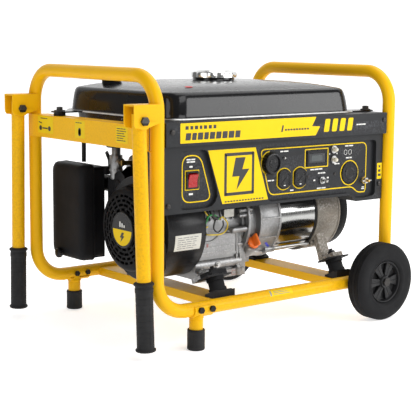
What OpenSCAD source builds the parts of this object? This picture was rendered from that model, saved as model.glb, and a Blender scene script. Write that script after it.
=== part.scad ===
// Open-frame portable generator: tubular frame with two wheels and two folding handles,
// fuel tank, control panel, single-cylinder engine with recoil starter, and an alternator.
// +X runs towards the wheels and the alternator, -Y is the control-panel side, +Z is up.

/* [Frame] */
// Outside diameter of the frame tube
tube_d = 26.7; // [26:0.1:27.4]
// Wall of the frame tube
tube_wall = 2; // [1.5:0.1:3]
// Centre plane of the hoop at the handle end
left_x = -288; // [-290:1:-286]
// Centre plane of the hoop at the wheel end
right_x = 321; // [320:1:322]
// Distance from the middle to each post and side rail
post_y = 215; // [214:0.5:216]
// Height of the hoops' top bars, at the tube's centre
hoop_z = 519; // [517:1:525]
// Height of the side rails, at the tube's centre
rail_z = 79; // [78.5:0.1:79.5]
// Bend radius of the frame tube, at the tube's centre
bend_r = 65; // [62:1:68]

/* [Wheels and feet] */
// Wheel centre along X
wheel_x = 269.5; // [269:0.5:271]
// Wheel outside radius
wheel_r = 81.5; // [80:0.5:81.5]
// Wheel width
wheel_w = 43; // [38:1:44]
// Leg centre along X
leg_x = -195; // [-198:1:-192]
// Height of a rubber boot
boot_h = 40; // [34:1:46]

/* [Handles] */
// Handle pivot along X
pivot_x = -328; // [-329:0.5:-327]
// Handle pivot height
pivot_z = 440; // [438:1:442]
// Lean of the front handle towards the post at rest
front_lean = 1.2; // [0:0.1:1.2]
// Outward splay of both handles
handle_splay = 1.3; // [0:0.1:1.3]
// Length of a rubber grip
grip_len = 126; // [110:1:130]

/* [Tank and panel] */
// Height of the tank's seam flange
flange_z = 436; // [434:1:437]
// Height of the tank's top
tank_top = 500; // [496:1:502]
// Sheet thickness of the control panel
panel_t = 2.5; // [2:0.1:3]

/* [Engine and alternator] */
// Crank axis, along Y
crank_y = -48; // [-49:0.5:-47]
// Crank axis height
crank_z = 213; // [212:0.5:214]
// Cylinder slope above the horizontal
cyl_tilt = 25; // [24:0.5:26]
// Outside radius of the alternator
stator_r = 86; // [85:0.5:87]
// Radius of the recoil cover
recoil_r = 84; // [83:0.5:85]

/* [Hidden] */
$fn = 48;
EPS = 0.01;
run_fit = 0.05;
weld_gap = 0.2;
tube_r = tube_d / 2;
bore_r = tube_r - tube_wall;
left_bend_x = left_x + bend_r;
right_bend_x = right_x - bend_r;
bend_z = rail_z + bend_r;
hoop_bend_z = hoop_z - bend_r;
hoop_bend_y = post_y - bend_r;
rail_bottom = rail_z - tube_r;
beam_top = rail_bottom + 19;
// Tank bolts: x, y and the height of the seat under the ear
tank_bolts = [[left_x + 4.6, 125, flange_z - 8], [left_x + 4.6, -125, flange_z - 8],
  [right_x - 20, 160, flange_z - 8], [295, -172, flange_z - 2]];
axle_r = 6;
pivot_r = 4;
panel_front = -215;
band_front = -225;
panel_back = -165;
floor_front = -207;
floor_back = floor_front + panel_t;
panel_l = -274.5;
panel_r = 305.5;
panel_low = 264;
panel_bump = 250;
band_low = 390;
panel_top = 434;
mount_tilt = 25;
mount_dy = 130;
mount_h = 34;
mount_r = 16;
engine_mount_x = -110;
alt_mount_x = 217;
case_l = -134;
case_r = 4;
case_x = (case_l + case_r) / 2;
base_low = 107;
yellow = [0.92, 0.69, 0.10];
black = [0.08, 0.08, 0.085];
dark = [0.17, 0.17, 0.18];
cast = [0.66, 0.66, 0.65];
steel = [0.72, 0.73, 0.74];

// ---------- helpers ----------
module rod_x(x0, x1, r) { translate([x0, 0, 0]) rotate([0, 90, 0]) cylinder(h = x1 - x0, r = r); }
module rod_y(y0, y1, r) { translate([0, y1, 0]) rotate([90, 0, 0]) cylinder(h = y1 - y0, r = r); }
module rod_z(z0, z1, r) { translate([0, 0, z0]) cylinder(h = z1 - z0, r = r); }
module block(lo, hi) { translate(lo) cube(hi - lo); }
// 2D outline in (x, z), extruded from y0 to y1
module along_y(y0, y1) { translate([0, y1, 0]) rotate([90, 0, 0]) linear_extrude(y1 - y0) children(); }
// 2D outline in (y, z), extruded from x0 to x1
module along_x(x0, x1) { translate([x0, 0, 0]) rotate([90, 0, 90]) linear_extrude(x1 - x0) children(); }
module both_sides() { children(); mirror([0, 1, 0]) children(); }
module at_crank() { translate([0, crank_y, crank_z]) children(); }
// Frame whose local X runs along the cylinder, away from the crank
module at_cylinder(x) { translate([x, crank_y, crank_z]) rotate([cyl_tilt, 0, 0]) children(); }
module hex_head(r, h) { cylinder(h = h, r = r, $fn = 6); }

function corner(cx, cy, r, a0, steps = 5) =
  [for (i = [0:steps]) [cx + r * cos(a0 + 90 * i / steps), cy + r * sin(a0 + 90 * i / steps)]];
// Rounded rectangle from (x0, y0) to (x1, y1)
function rounded(x0, y0, x1, y1, r) = concat(corner(x1 - r, y1 - r, r, 0), corner(x0 + r, y1 - r, r, 90),
  corner(x0 + r, y0 + r, r, 180), corner(x1 - r, y0 + r, r, 270));

// ---------- frame ----------
module tube_ring() { difference() { circle(tube_r); circle(bore_r); } }
module straight_tube(length) { linear_extrude(length) tube_ring(); }
module quarter_bend() { rotate_extrude(angle = 90) translate([bend_r, 0]) tube_ring(); }
// Top bar, two corners, two posts, and two bottom bends that turn to +X
module hoop() {
  translate([0, -hoop_bend_y, hoop_z]) rotate([-90, 0, 0]) straight_tube(2 * hoop_bend_y);
  both_sides() {
    translate([0, hoop_bend_y, hoop_bend_z]) rotate([90, 0, 90]) quarter_bend();
    translate([0, post_y, bend_z]) straight_tube(hoop_bend_z - bend_z);
    translate([bend_r, post_y, bend_z]) rotate([90, 0, 0]) rotate([0, 0, 180]) quarter_bend();
  }
}
module left_hoop() { color(yellow) translate([left_x, 0, 0]) hoop(); }
module right_hoop() {
  color(yellow) difference() {
    translate([right_x, 0, 0]) mirror([1, 0, 0]) hoop();
    translate([wheel_x, 0, wheel_r]) rod_y(-250, 250, axle_r + 0.2);
  }
}
leg_bolt_x = [leg_x - 1.5, leg_x + 25.5];
module side_rails() {
  color(yellow) both_sides() difference() {
    translate([0, post_y, rail_z]) difference() {
      rod_x(left_bend_x, right_bend_x, tube_r);
      rod_x(left_bend_x - 1, right_bend_x + 1, bore_r);
    }
    for (x = leg_bolt_x) translate([x, 0, rail_z]) rod_y(post_y - 20, post_y + 20, 3.2);
  }
}
// Pressed channel between the rails
module crossmember(x0, x1) {
  t = 3;
  difference() {
    along_y(-post_y, post_y) polygon([[x0, rail_bottom + 1], [x0, beam_top], [x1, beam_top],
      [x1, rail_bottom + 1], [x1 - t, rail_bottom + 1], [x1 - t, beam_top - t],
      [x0 + t, beam_top - t], [x0 + t, rail_bottom + 1]]);
    both_sides() translate([0, post_y, rail_z]) rod_x(x0 - 1, x1 + 1, tube_r + run_fit);
  }
}
module crossmembers() {
  color(yellow) {
    crossmember(engine_mount_x - 25, engine_mount_x + 25);
    crossmember(alt_mount_x - 26, alt_mount_x + 26);
  }
}
module crossbars() {
  t = 2.5;
  face = left_x - tube_r;
  ear = flange_z - 8;
  color(yellow) {
    // handle end: face plate outside the posts and a shelf for the tank ears
    block([face - t, -209, 383], [face, 209, ear]);
    difference() {
      block([face, -158, ear - t], [face + 34, 200, ear]);
      for (p = tank_bolts) translate([p[0], p[1], 0]) rod_z(ear - 5, ear + 5, 4.2);
    }
    // wheel end: angle between the posts
    difference() {
      union() {
        block([right_x - t / 2, -post_y, 386], [right_x + t / 2, post_y, ear]);
        block([right_x - 32, -158, ear - t], [right_x - t / 2, 200, ear]);
      }
      both_sides() translate([right_x, post_y, 0]) rod_z(380, ear + 5, tube_r);
      for (p = tank_bolts) translate([p[0], p[1], 0]) rod_z(ear - 5, ear + 5, 4.2);
    }
  }
}
module legs() {
  color(yellow) both_sides() {
    difference() {
      translate([leg_x, post_y, 0]) difference() {
        rod_z(8, rail_z - 4, tube_r);
        rod_z(7, rail_z, bore_r);
      }
      translate([0, post_y, rail_z]) rod_x(leg_x - 30, leg_x + 50, tube_r + weld_gap);
    }
    // saddle round the outer, lower half of the rail
    difference() {
      translate([0, post_y, rail_z]) difference() {
        rod_x(leg_x - 14, leg_x + 32, tube_r + 3);
        rod_x(leg_x - 15, leg_x + 33, tube_r + weld_gap);
      }
      block([leg_x - 20, post_y - 40, rail_z + 7], [leg_x + 40, post_y + 40, rail_z + 30]);
      block([leg_x - 20, post_y - 40, rail_z - 10], [leg_x + 40, post_y, rail_z + 30]);
      translate([leg_x, post_y, 0]) rod_z(0, rail_z - 3, tube_r + weld_gap);
      for (x = leg_bolt_x) translate([x, 0, rail_z]) rod_y(post_y, post_y + 30, 3.2);
    }
  }
}
module leg_boots() {
  color(black) both_sides() translate([leg_x, post_y, 0]) difference() {
    rod_z(0, boot_h, 17);
    rod_z(8, boot_h + 1, tube_r + run_fit);
  }
}

// ---------- folding handles ----------
cheek_in = tube_r + 0.85;
cheek_out = cheek_in + 2.5;
cheek_l = -350;
cheek_top = pivot_z + 29.5;
module cheek_outline() {
  polygon(concat([[left_x - 1, pivot_z - 3], [left_x - 1, cheek_top], [cheek_l, cheek_top]],
    [for (a = [180:12:228]) [cheek_l + 12 + 12 * cos(a), pivot_z - 3 + 12 * sin(a)]],
    [for (a = [-128:10:-48]) [pivot_x + 16 * cos(a), pivot_z + 16 * sin(a)]]));
}
module handle_brackets() {
  color(yellow) both_sides() difference() {
    union() {
      along_y(post_y + cheek_in, post_y + cheek_out) cheek_outline();
      along_y(post_y - cheek_out, post_y - cheek_in) cheek_outline();
      block([cheek_l, post_y - cheek_in, cheek_top - 3], [left_x - 1, post_y + cheek_in, cheek_top]);
    }
    translate([left_x, post_y, 0]) rod_z(400, 500, tube_r + run_fit);
    translate([left_x, post_y - 2, 0]) rod_z(460, 480, tube_r + 0.4);
    translate([pivot_x, 0, pivot_z]) rod_y(post_y - 30, post_y + 30, pivot_r + run_fit);
  }
}
module at_handle(side, lean) {
  translate([pivot_x, side * post_y, pivot_z]) rotate([side * handle_splay, -lean, 0]) children();
}
tube_end = -418;
module handle_tube(side, lean) {
  color(yellow) difference() {
    at_handle(side, lean) difference() {
      rod_z(tube_end, 13, tube_r);
      rod_z(tube_end - 1, 14, bore_r);
    }
    translate([pivot_x, side * post_y, pivot_z]) rod_y(-20, 20, pivot_r + run_fit);
  }
}
module grip(side, lean) {
  top = tube_end - 4 + grip_len + 4;
  color(black) at_handle(side, lean) difference() {
    union() {
      rod_z(tube_end - 4, top, tube_r + 3);
      for (z = [tube_end - 4, top - 4]) rod_z(z, z + 4, tube_r + 6);
    }
    rod_z(tube_end, top + 1, tube_r);
  }
}
module front_handle_tube() { handle_tube(-1, front_lean); }
module rear_handle_tube() { handle_tube(1, 0); }
module front_grip() { grip(-1, front_lean); }
module rear_grip() { grip(1, 0); }

// ---------- wheels ----------
wheel_in = 231;
wheel_out = wheel_in + wheel_w;
module at_wheel() { translate([wheel_x, 0, wheel_r]) children(); }
module wheel_axles() {
  color(dark) both_sides() at_wheel() {
    rod_y(190, wheel_out - 2.6, axle_r);
    translate([0, post_y - tube_r - 0.2, 0]) rotate([90, 0, 0]) hex_head(10, 8);
    translate([0, wheel_out - 2.5, 0]) rotate([-90, 0, 0]) hex_head(9.5, 2.4);
    difference() { rod_y(post_y + tube_r + 0.1, wheel_in + 3.8, 11); rod_y(200, 260, axle_r); }
  }
}
hub_r = 44;
web_back = wheel_in + 17;
module wheel_hub() {
  spokes = 6;
  at_wheel() difference() {
    union() {
      difference() { rod_y(wheel_in + 6, wheel_out - 8, hub_r); rod_y(wheel_in, wheel_out, hub_r - 5); }
      rod_y(web_back, web_back + 8, hub_r - 4);
      rod_y(wheel_in + 4, wheel_out - 5, 15);
    }
    rod_y(wheel_in, wheel_out, axle_r + run_fit);
    for (i = [0:spokes - 1]) rotate([0, 60 * i, 0]) along_y(web_back + 3, web_back + 12)
      polygon([[-4, 18], [4, 18], [10, 35], [-10, 35]]);
  }
}
module tyre() {
  groove = 1.6;
  at_wheel() translate([0, wheel_in + wheel_w / 2, 0]) rotate([90, 0, 0]) rotate_extrude($fn = 72)
    difference() {
      polygon(rounded(hub_r, -wheel_w / 2, wheel_r, wheel_w / 2, 7));
      for (y = [-9, -3, 3, 9]) translate([wheel_r - groove, y - 0.8]) square([groove + 1, 1.6]);
      for (s = [-1, 1]) translate([hub_r, s * wheel_w / 2]) square([4, 15], center = true);
    }
}
module front_wheel_hub() { color(black) mirror([0, 1, 0]) wheel_hub(); }
module rear_wheel_hub() { color(black) wheel_hub(); }
module front_tyre() { color(dark) mirror([0, 1, 0]) tyre(); }
module rear_tyre() { color(dark) tyre(); }

// ---------- fuel tank ----------
cap_x = 16;
neck_r = 29;
module tank_body(w) {
  top = tank_top - w;
  x0 = -233 + w;
  x1 = 250 - w;
  y1 = 185 - w;
  // upper shell
  intersection() {
    translate([0, 0, flange_z]) linear_extrude(120) polygon(rounded(x0, -y1, x1, y1, 38 - w));
    along_y(-y1 - 1, y1 + 1) polygon([[x0, flange_z], [x0 + 6, 478], [x0 + 12, 488 - w],
      [x0 + 28, 492 - w], [-110, top], [150, top], [x1 - 26, 496 - w], [x1 - 14, 484 - w],
      [x1, flange_z]]);
    along_x(x0 - 1, x1 + 1) polygon([[-y1, flange_z], [-y1 + 5, 480 - w], [-y1 + 12, 487 - w],
      [-y1 + 60, top], [y1 - 60, top], [y1 - 12, 487 - w], [y1 - 5, 480 - w], [y1, flange_z]]);
  }
  // lower shell, sloping to the valve
  intersection() {
    translate([0, 0, 380]) linear_extrude(flange_z - 380) polygon(rounded(x0 + 10, w - 158, x1 - 10,
      y1 - 10, 34 - w));
    along_y(-y1, y1) polygon([[x0, flange_z], [x0, 386 + w], [-120, 386 + w], [x1, 404 + w], [x1, flange_z]]);
  }
}
valve_x = -200;
valve_y = 45;
gauge_x = -175;
gauge_y = 98;
gauge_z = 497;
module fuel_tank() {
  color(black) {
    difference() {
      union() {
        tank_body(0);
        translate([0, 0, flange_z - 1.5]) linear_extrude(3) polygon(rounded(-243, -195, 260, 195, 44));
        for (s = [-1, 1]) {
          block([-295, s * 125 - 17, flange_z - 1.5], [-230, s * 125 + 17, flange_z + 1.5]);
          block([240, s * 165 - 17, flange_z - 1.5], [313, s * 165 + 17, flange_z + 1.5]);
        }
        translate([cap_x, 0, 0]) rod_z(tank_top - 8, tank_top + 6, neck_r + 4);
        translate([valve_x, valve_y, 0]) rod_z(366, 392, 20);
        translate([gauge_x, gauge_y, 0]) rod_z(488, gauge_z, 19);
      }
      difference() { tank_body(2); translate([valve_x, valve_y, 0]) rod_z(360, 388, 20); }
      translate([cap_x, 0, 0]) rod_z(tank_top - 20, tank_top + 10, neck_r);
      translate([valve_x, valve_y, 0]) rod_z(360, 400, 5);
      for (p = tank_bolts) translate([p[0], p[1], 0]) rod_z(flange_z - 5, flange_z + 5, 4.2);
    }
  }
}
seal_z = tank_top + 6;
module fuel_cap_gasket() {
  color(black) translate([cap_x, 0, 0]) difference() {
    rod_z(seal_z + 0.1, seal_z + 2.6, 44);
    rod_z(seal_z, seal_z + 3, neck_r + 0.5);
  }
}
module fuel_cap() {
  color(steel) translate([cap_x, 0, 0]) difference() {
    union() {
      rod_z(tank_top + 1.5, seal_z + 11, 49);
      rod_z(seal_z + 11, seal_z + 14, 42);
    }
    rod_z(tank_top, seal_z + 2.7, 44.3);
    for (a = [0:20:340]) rotate([0, 0, a]) translate([49, 0, tank_top + 6]) rod_z(0, 30, 2.2);
  }
}
module fuel_gauge() {
  color(black) translate([gauge_x, gauge_y, 0]) {
    difference() { rod_z(gauge_z, gauge_z + 11, 19); rod_z(gauge_z + 8, gauge_z + 12, 15); }
    rod_z(gauge_z + 7, gauge_z + 9.5, 13);
  }
}

// ---------- fuel valve, bowl and hoses ----------
module fuel_valve_body() {
  color(steel) translate([valve_x, valve_y, 0]) {
    difference() {
      union() {
        rod_z(350, 366, 9);
        rod_z(322, 350, 13);
        translate([0, 0, 336]) rod_y(-19, 0, 9);
        translate([0, 0, 332]) rod_x(0, 20, 4);
      }
      rod_z(325, 370, 4);
      translate([0, 0, 336]) rod_y(-25, -8, 4 + run_fit);
    }
  }
}
module fuel_valve_lever() {
  color([0.45, 0.38, 0.2]) translate([valve_x, valve_y, 336]) {
    rod_y(-26, -9, 4);
    along_y(-29, -26) polygon([[-6, -5], [-6, 5], [22, 4], [26, 0], [22, -4]]);
  }
}
module sediment_bowl() {
  color(steel) translate([valve_x, valve_y, 0]) {
    difference() { rod_z(300, 322, 12); rod_z(303, 323, 10); }
    rod_z(294, 300, 7);
  }
}
// Fuel hose centreline: out of the valve, down and into the float bowl
hose_points = [[-180, 45, 332], [-172, 45, 332], [-162, 46, 330], [-155, 49, 322], [-152, 54, 310],
  [-150, 59, 298], [-150, 64, 287], [-150, 70, 277], [-150, 76, 271.6], [-150, 79, 271],
  [-150, 81.9, 271]];
function unit(v) = v / norm(v);
function tangent(p, i) = unit(p[min(i + 1, len(p) - 1)] - p[max(i - 1, 0)]);
function ring(c, t, r, n) = let(u = unit(cross(t, [0.31, 0.9, 0.27])), v = cross(t, u))
  [for (k = [0:n - 1]) c + r * (cos(360 * k / n) * u + sin(360 * k / n) * v)];
module sweep(p, r, n) {
  m = len(p);
  rings = [for (i = [0:m - 1]) each ring(p[i], tangent(p, i), r, n)];
  sides = [for (i = [0:m - 2], k = [0:n - 1])
    [i * n + k, (i + 1) * n + k, (i + 1) * n + (k + 1) % n, i * n + (k + 1) % n]];
  ends = [[for (k = [0:n - 1]) k], [for (k = [n - 1:-1:0]) (m - 1) * n + k]];
  polyhedron(rings, concat(sides, ends), convexity = 4);
}
module fuel_hoses() {
  color(dark) {
    sweep(hose_points, 4, 10);
    translate([-222, 131, 0]) rod_z(330, 385.9, 4.5);
  }
}

// ---------- control panel ----------
// Polygon p with corner i rounded to radius r[i]
function eased(p, r) = let(m = len(p)) [for (i = [0:m - 1])
  let(u = unit(p[(i + m - 1) % m] - p[i]), v = unit(p[(i + 1) % m] - p[i]), half = acos(u * v) / 2,
    c = p[i] + unit(u + v) * r[i] / sin(half), a = p[i] + u * r[i] / tan(half) - c,
    b = p[i] + v * r[i] / tan(half) - c, w = 180 - 2 * half)
  for (k = [0:4]) c + (sin((1 - k / 4) * w) * a + sin(k / 4 * w) * b) / sin(w)];
left_pocket = eased([[-234, 270], [-136, 270], [-171, 380.5], [-234, 380.5]], [9, 25, 14, 9]);
right_pocket = eased([[-14.5, 269], [206, 269], [230, 257], [258, 256], [286, 260], [286.5, 377],
  [-47, 377]], [9, 12, 12, 12, 8, 9, 12]);
module panel_outline(t) {
  polygon([[panel_l + t, panel_low + t], [214 - t / 2, panel_low + t], [230 - t / 2, panel_bump + t],
    [panel_r - t, panel_bump + t], [panel_r - t, band_low + 1], [panel_l + t, band_low + 1]]);
}
switch_c = [-201, 324];
breaker_x = 167.5;
breaker_z = [362, 341];
toggle_c = [135.5, 300.5];
pilot_c = [31.2, 352];
stud_c = [257.5, 292];
big_c = [-6.5, 344];
oval_c = [[31, 310], [74, 310]];
lock_c = [215.5, 310.5];
meter_c = [120, 347];
module fitting_holes() {
  module hole(c, r) { translate([c[0], 0, c[1]]) rod_y(floor_front - 2, floor_back + 2, r); }
  module slot(c, w, h) { block([c[0] - w / 2, floor_front - 2, c[1] - h / 2],
    [c[0] + w / 2, floor_back + 2, c[1] + h / 2]); }
  slot(switch_c, 26.8, 31.6);
  for (z = breaker_z) hole([breaker_x, z], 6);
  hole(toggle_c, 5.5);
  hole(pilot_c, 3);
  hole(stud_c, 4);
  hole(big_c, 18);
  for (c = oval_c) slot(c, 26, 30);
  hole(lock_c, 20);
  slot(meter_c, 44, 24);
}
panel_screws = [[-260.5, 417, band_front], [-262.5, 280, panel_front], [297, 419, band_front],
  [297, 283, panel_front]];
module control_panel() {
  color(dark) difference() {
    union() {
      difference() {
        union() {
          block([panel_l, band_front, band_low], [panel_r, panel_back, panel_top]);
          along_y(panel_front, panel_back) panel_outline(0);
        }
        block([panel_l + panel_t, band_front + panel_t, band_low + panel_t],
          [panel_r - panel_t, panel_back + 1, panel_top - panel_t]);
        along_y(panel_front + panel_t, panel_back + 1) panel_outline(panel_t);
      }
      for (p = [left_pocket, right_pocket]) along_y(panel_front + 1, floor_back)
        intersection() { grown(p); panel_outline(1); }
    }
    for (p = [left_pocket, right_pocket]) along_y(panel_front - 1, floor_front) polygon(p);
    fitting_holes();
    for (s = panel_screws) translate([s[0], 0, s[1]]) rod_y(s[2] - 1, s[2] + panel_t + 1, 2.7);
    translate([tank_bolts[3][0], tank_bolts[3][1], 0]) rod_z(panel_top - 5, panel_top + 1, 4.2);
  }
}
// The pocket outline grown by the sheet thickness, as a scaled copy about its middle
module grown(p) {
  lo = [min([for (q = p) q[0]]), min([for (q = p) q[1]])];
  hi = [max([for (q = p) q[0]]), max([for (q = p) q[1]])];
  mid = (lo + hi) / 2;
  k = [1 + 2 * panel_t / (hi[0] - lo[0]), 1 + 2 * panel_t / (hi[1] - lo[1])];
  polygon([for (q = p) [mid[0] + k[0] * (q[0] - mid[0]), mid[1] + k[1] * (q[1] - mid[1])]]);
}
module panel_back_cover() {
  color(black) along_y(panel_back, panel_back + 1.5) union() {
    panel_outline(0);
    translate([panel_l, band_low]) square([panel_r - panel_l, panel_top - band_low]);
  }
}
module on_panel(c, y = floor_front) { translate([c[0], y, c[1]]) children(); }
module plate(w, h, y0, y1, r) { along_y(y0, y1) polygon(rounded(-w / 2, -h / 2, w / 2, h / 2, r)); }
rocker_y = 2;
module switch_housing() {
  color(black) on_panel(switch_c) difference() {
    union() {
      plate(28.6, 33.6, -3, 0, 2);
      block([-13.2, 0, -15.6], [13.2, 18, 15.6]);
    }
    block([-10.6, -4, -14], [10.6, 13, 14]);
    translate([0, rocker_y, 0]) rod_x(-12.6, 12.6, 1.5 + run_fit);
  }
}
module switch_rocker() {
  color([0.78, 0.08, 0.07]) on_panel(switch_c) translate([0, rocker_y, 0]) rotate([10, 0, 0]) {
    along_x(-10.3, 10.3) polygon([[-7.5, -12.4], [-5.5, 0], [-7.5, 12.4], [0, 12.6], [5, 4], [5, -4],
      [0, -12.6]]);
    rod_x(-12.4, 12.4, 1.5);
  }
}
// A blade slot pair and an earth hole
module blades() {
  for (s = [-1, 1]) block([s * 6 - 1.2, -20, 0], [s * 6 + 1.2, 8, 8]);
  translate([0, 0, -7]) rod_y(-20, 8, 2.5);
}
module receptacles() {
  color(black) {
    on_panel(big_c) difference() {
      union() { rod_y(-12, 0, 21); rod_y(0, 22, 17.8); }
      rod_y(-13, -8, 17);
      blades();
    }
    for (c = oval_c) on_panel(c) difference() {
      union() {
        intersection() { rod_y(-4, 0, 20); block([-16.5, -5, -20], [16.5, 1, 20]); }
        block([-12.8, 0, -14.8], [12.8, 20, 14.8]);
      }
      blades();
    }
    on_panel(lock_c) difference() {
      union() { rod_y(-3, 0, 23.4); rod_y(0, 24, 19.8); }
      for (a = [0:90:270]) rotate([0, a, 0]) block([9, -4, -5], [11.4, 8, 5]);
    }
  }
}
module hour_meter() {
  color(black) on_panel(meter_c) {
    difference() { plate(56, 31, -3, 0, 2); plate(46, 19, -4, -1.5, 1); }
    block([-21.8, 0, -11.8], [21.8, 22, 11.8]);
  }
}
module panel_bushings() {
  color(steel) {
    for (z = breaker_z) on_panel([breaker_x, z]) difference() {
      union() { rod_y(-3, 0, 8); rod_y(0, 3, 5.9); block([-8, 3, -8], [8, 24, 8]); }
      rod_y(-4, 12, 4.5 + run_fit);
    }
    on_panel(toggle_c) difference() {
      union() {
        translate([0, 0, 0]) rotate([90, 0, 0]) hex_head(8, 3);
        rod_y(-7, 3, 5.4);
        block([-8, 3, -7], [8, 22, 7]);
      }
      block([-4.5, -8, -2.6], [4.5, 9, 2.6]);
      rod_z_pin(2.9 + run_fit, 1 + run_fit);
    }
    on_panel(pilot_c) { rod_y(-2, 8, 2.9); translate([0, -2, 0]) sphere(2.8); }
  }
}
// Cross pin of the voltage toggle, along Z
module rod_z_pin(half, r) { translate([0, -2, 0]) rod_z(-half, half, r); }
module breaker_button(z) {
  color([0.85, 0.84, 0.8]) on_panel([breaker_x, z]) { rod_y(-9, 6, 4.5); translate([0, -9, 0]) sphere(4.2); }
}
module breaker_button_upper() { breaker_button(breaker_z[0]); }
module breaker_button_lower() { breaker_button(breaker_z[1]); }
toggle_rest = -14;
module voltage_toggle() {
  color(steel) on_panel(toggle_c) {
    translate([0, -2, 0]) rotate([0, 0, toggle_rest]) {
      rod_y(-19, 4, 1.9);
      translate([0, -19, 0]) sphere(3);
    }
    rod_z_pin(2.9, 1);
  }
}
module ground_stud() {
  color([0.75, 0.6, 0.3]) on_panel(stud_c) {
    difference() { rod_y(-3, 0, 7); rod_y(-4, 1, 2.99); }
    rod_y(-12.1, 12, 2.99);
    rod_y(-18, -12.1, 2.5);
  }
}
module ground_wing_nut() {
  color(steel) on_panel(stud_c) difference() {
    union() {
      rod_y(-10, -3.2, 6);
      for (a = [0, 180]) rotate([0, a, 0]) block([3, -12, -1.2], [13, -5, 1.2]);
    }
    rod_y(-13, -2, 3 + run_fit);
  }
}

// ---------- fasteners ----------
module bolts() {
  color(dark) {
    // handle pivot bolts
    both_sides() translate([pivot_x, post_y, pivot_z]) {
      rod_y(-24, 19, pivot_r);
      translate([0, cheek_out + 0.1, 0]) rotate([-90, 0, 0]) hex_head(8.5, 5);
      translate([0, -cheek_out - 0.1, 0]) rotate([90, 0, 0]) hex_head(8.5, 6);
    }
    // leg bolts
    both_sides() for (x = leg_bolt_x) translate([x, post_y, rail_z]) {
      rod_y(-18, tube_r + 8, 3);
      translate([0, tube_r + 3, 0]) rotate([-90, 0, 0]) hex_head(6.5, 5);
      translate([0, -tube_r, 0]) rotate([90, 0, 0]) hex_head(6, 4.5);
    }
    // tank bolts and their rubber pads
    for (p = tank_bolts) translate([p[0], p[1], 0]) {
      if (p[2] < flange_z - 3) difference() { rod_z(p[2], flange_z - 1.5, 12); rod_z(0, 500, 4.2); }
      rod_z(p[2] - 8, flange_z + 10, 4);
      translate([0, 0, flange_z + 1.5]) rod_z(0, 2, 11);
      translate([0, 0, flange_z + 3.5]) hex_head(7, 6);
      translate([0, 0, p[2] - 7.5]) hex_head(7, 5);
    }
    // panel screws
    for (s = panel_screws) translate([s[0], s[2], s[1]]) { rod_y(-2.5, 0, 4.8); rod_y(0, 9, 2.6); }
    // alternator through-bolts
    at_through_bolts() {
      rod_x(bell_end - 24, lug_end + 0.2, 3);
      translate([lug_end + 0.1, 0, 0]) rotate([0, 90, 0]) hex_head(6, 5);
    }
  }
}

// ---------- engine ----------
// Lengthwise stations: bell end, stator end, lug end, end bell end
bell_neck = 36;
bell_end = 93;
stator_end = 198;
lug_end = 221;
bell_back = 266;
lug_r = 7;
module at_through_bolts() {
  at_crank() for (a = [47, 133, 227, 313]) rotate([a, 0, 0]) translate([0, stator_r + 2, 0]) children();
}
shroud_l = -212;
shroud_r = -121;
low_l = shroud_r + 2;
module crankcase() {
  color(cast) difference() {
    union() {
      at_crank() rod_x(case_l, case_r, 66);
      block([low_l, crank_y - 66, base_low + 12], [case_r, crank_y + 74, crank_z]);
      block([low_l, crank_y - 74, base_low], [case_r, crank_y + 74, base_low + 14]);
      at_cylinder(0) block([low_l - 1, 20, -52], [case_r - 8, 75, 52]);
      // inclined ears over the rubber mounts
      for (s = [-1, 1]) translate([engine_mount_x, crank_y + s * mount_dy, 0])
        at_mount_top(s) block([-19, s > 0 ? -50 : -18, 0.1], [19, s > 0 ? 18 : 50, 9]);
    }
    // crank chamber, oil sump and bore
    at_crank() rod_x(case_l + 12, case_r + 1, 56);
    block([low_l + 8, crank_y - 58, base_low + 14], [case_r + 1, crank_y + 58, crank_z]);
    at_cylinder(case_x) rod_y(0, 100, 34);
    at_crank() rod_x(case_l - 1, case_r, 15 + run_fit);
    at_cylinder(0) block([case_l - 1, 75, -150], [case_r + 1, 200, 150]);
    for (s = [-1, 1]) translate([engine_mount_x, crank_y + s * mount_dy, 0])
      at_mount_top(s) rod_z(0, 12, 4.2);
  }
}
// Local frame on top of a rubber mount: s is -1 for the front one and 1 for the rear one
seat_mid = beam_top + mount_r * tan(mount_tilt);
module at_mount(s) { translate([0, 0, seat_mid]) rotate([s * mount_tilt, 0, 0]) children(); }
module at_mount_top(s) { at_mount(s) translate([0, 0, mount_h]) children(); }
module rubber_mounts() {
  plate = 3;
  inner = mount_dy - mount_r + weld_gap;
  outer = mount_dy + 22;
  color(black) for (x = [engine_mount_x, alt_mount_x], s = [-1, 1]) {
    // wedge bracket on the cross member
    translate([0, crank_y, 0]) along_x(x - 23, x + 23) polygon([[s * inner, beam_top + 0.1],
      [s * outer, beam_top + 0.1], [s * outer, beam_top + (outer - mount_dy + mount_r) * tan(mount_tilt)]]);
    translate([x, crank_y + s * mount_dy, 0]) at_mount(s) {
      block([-23, -15, -1], [23, 15, plate]);
      rod_z(plate, 9, mount_r + 2);
      rod_z(9, 24, mount_r);
      rod_z(24, mount_h - plate, mount_r + 2);
      block([-30, -18, mount_h - plate], [30, 18, mount_h]);
      rod_z(mount_h, mount_h + 20, 4);
      translate([0, 0, mount_h + 9.2]) hex_head(8, 6);
    }
  }
}
fill = [23, -122, 168];
fill_tilt = -35;
module at_filler() { translate(fill) rotate([fill_tilt, 0, 0]) children(); }
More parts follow.
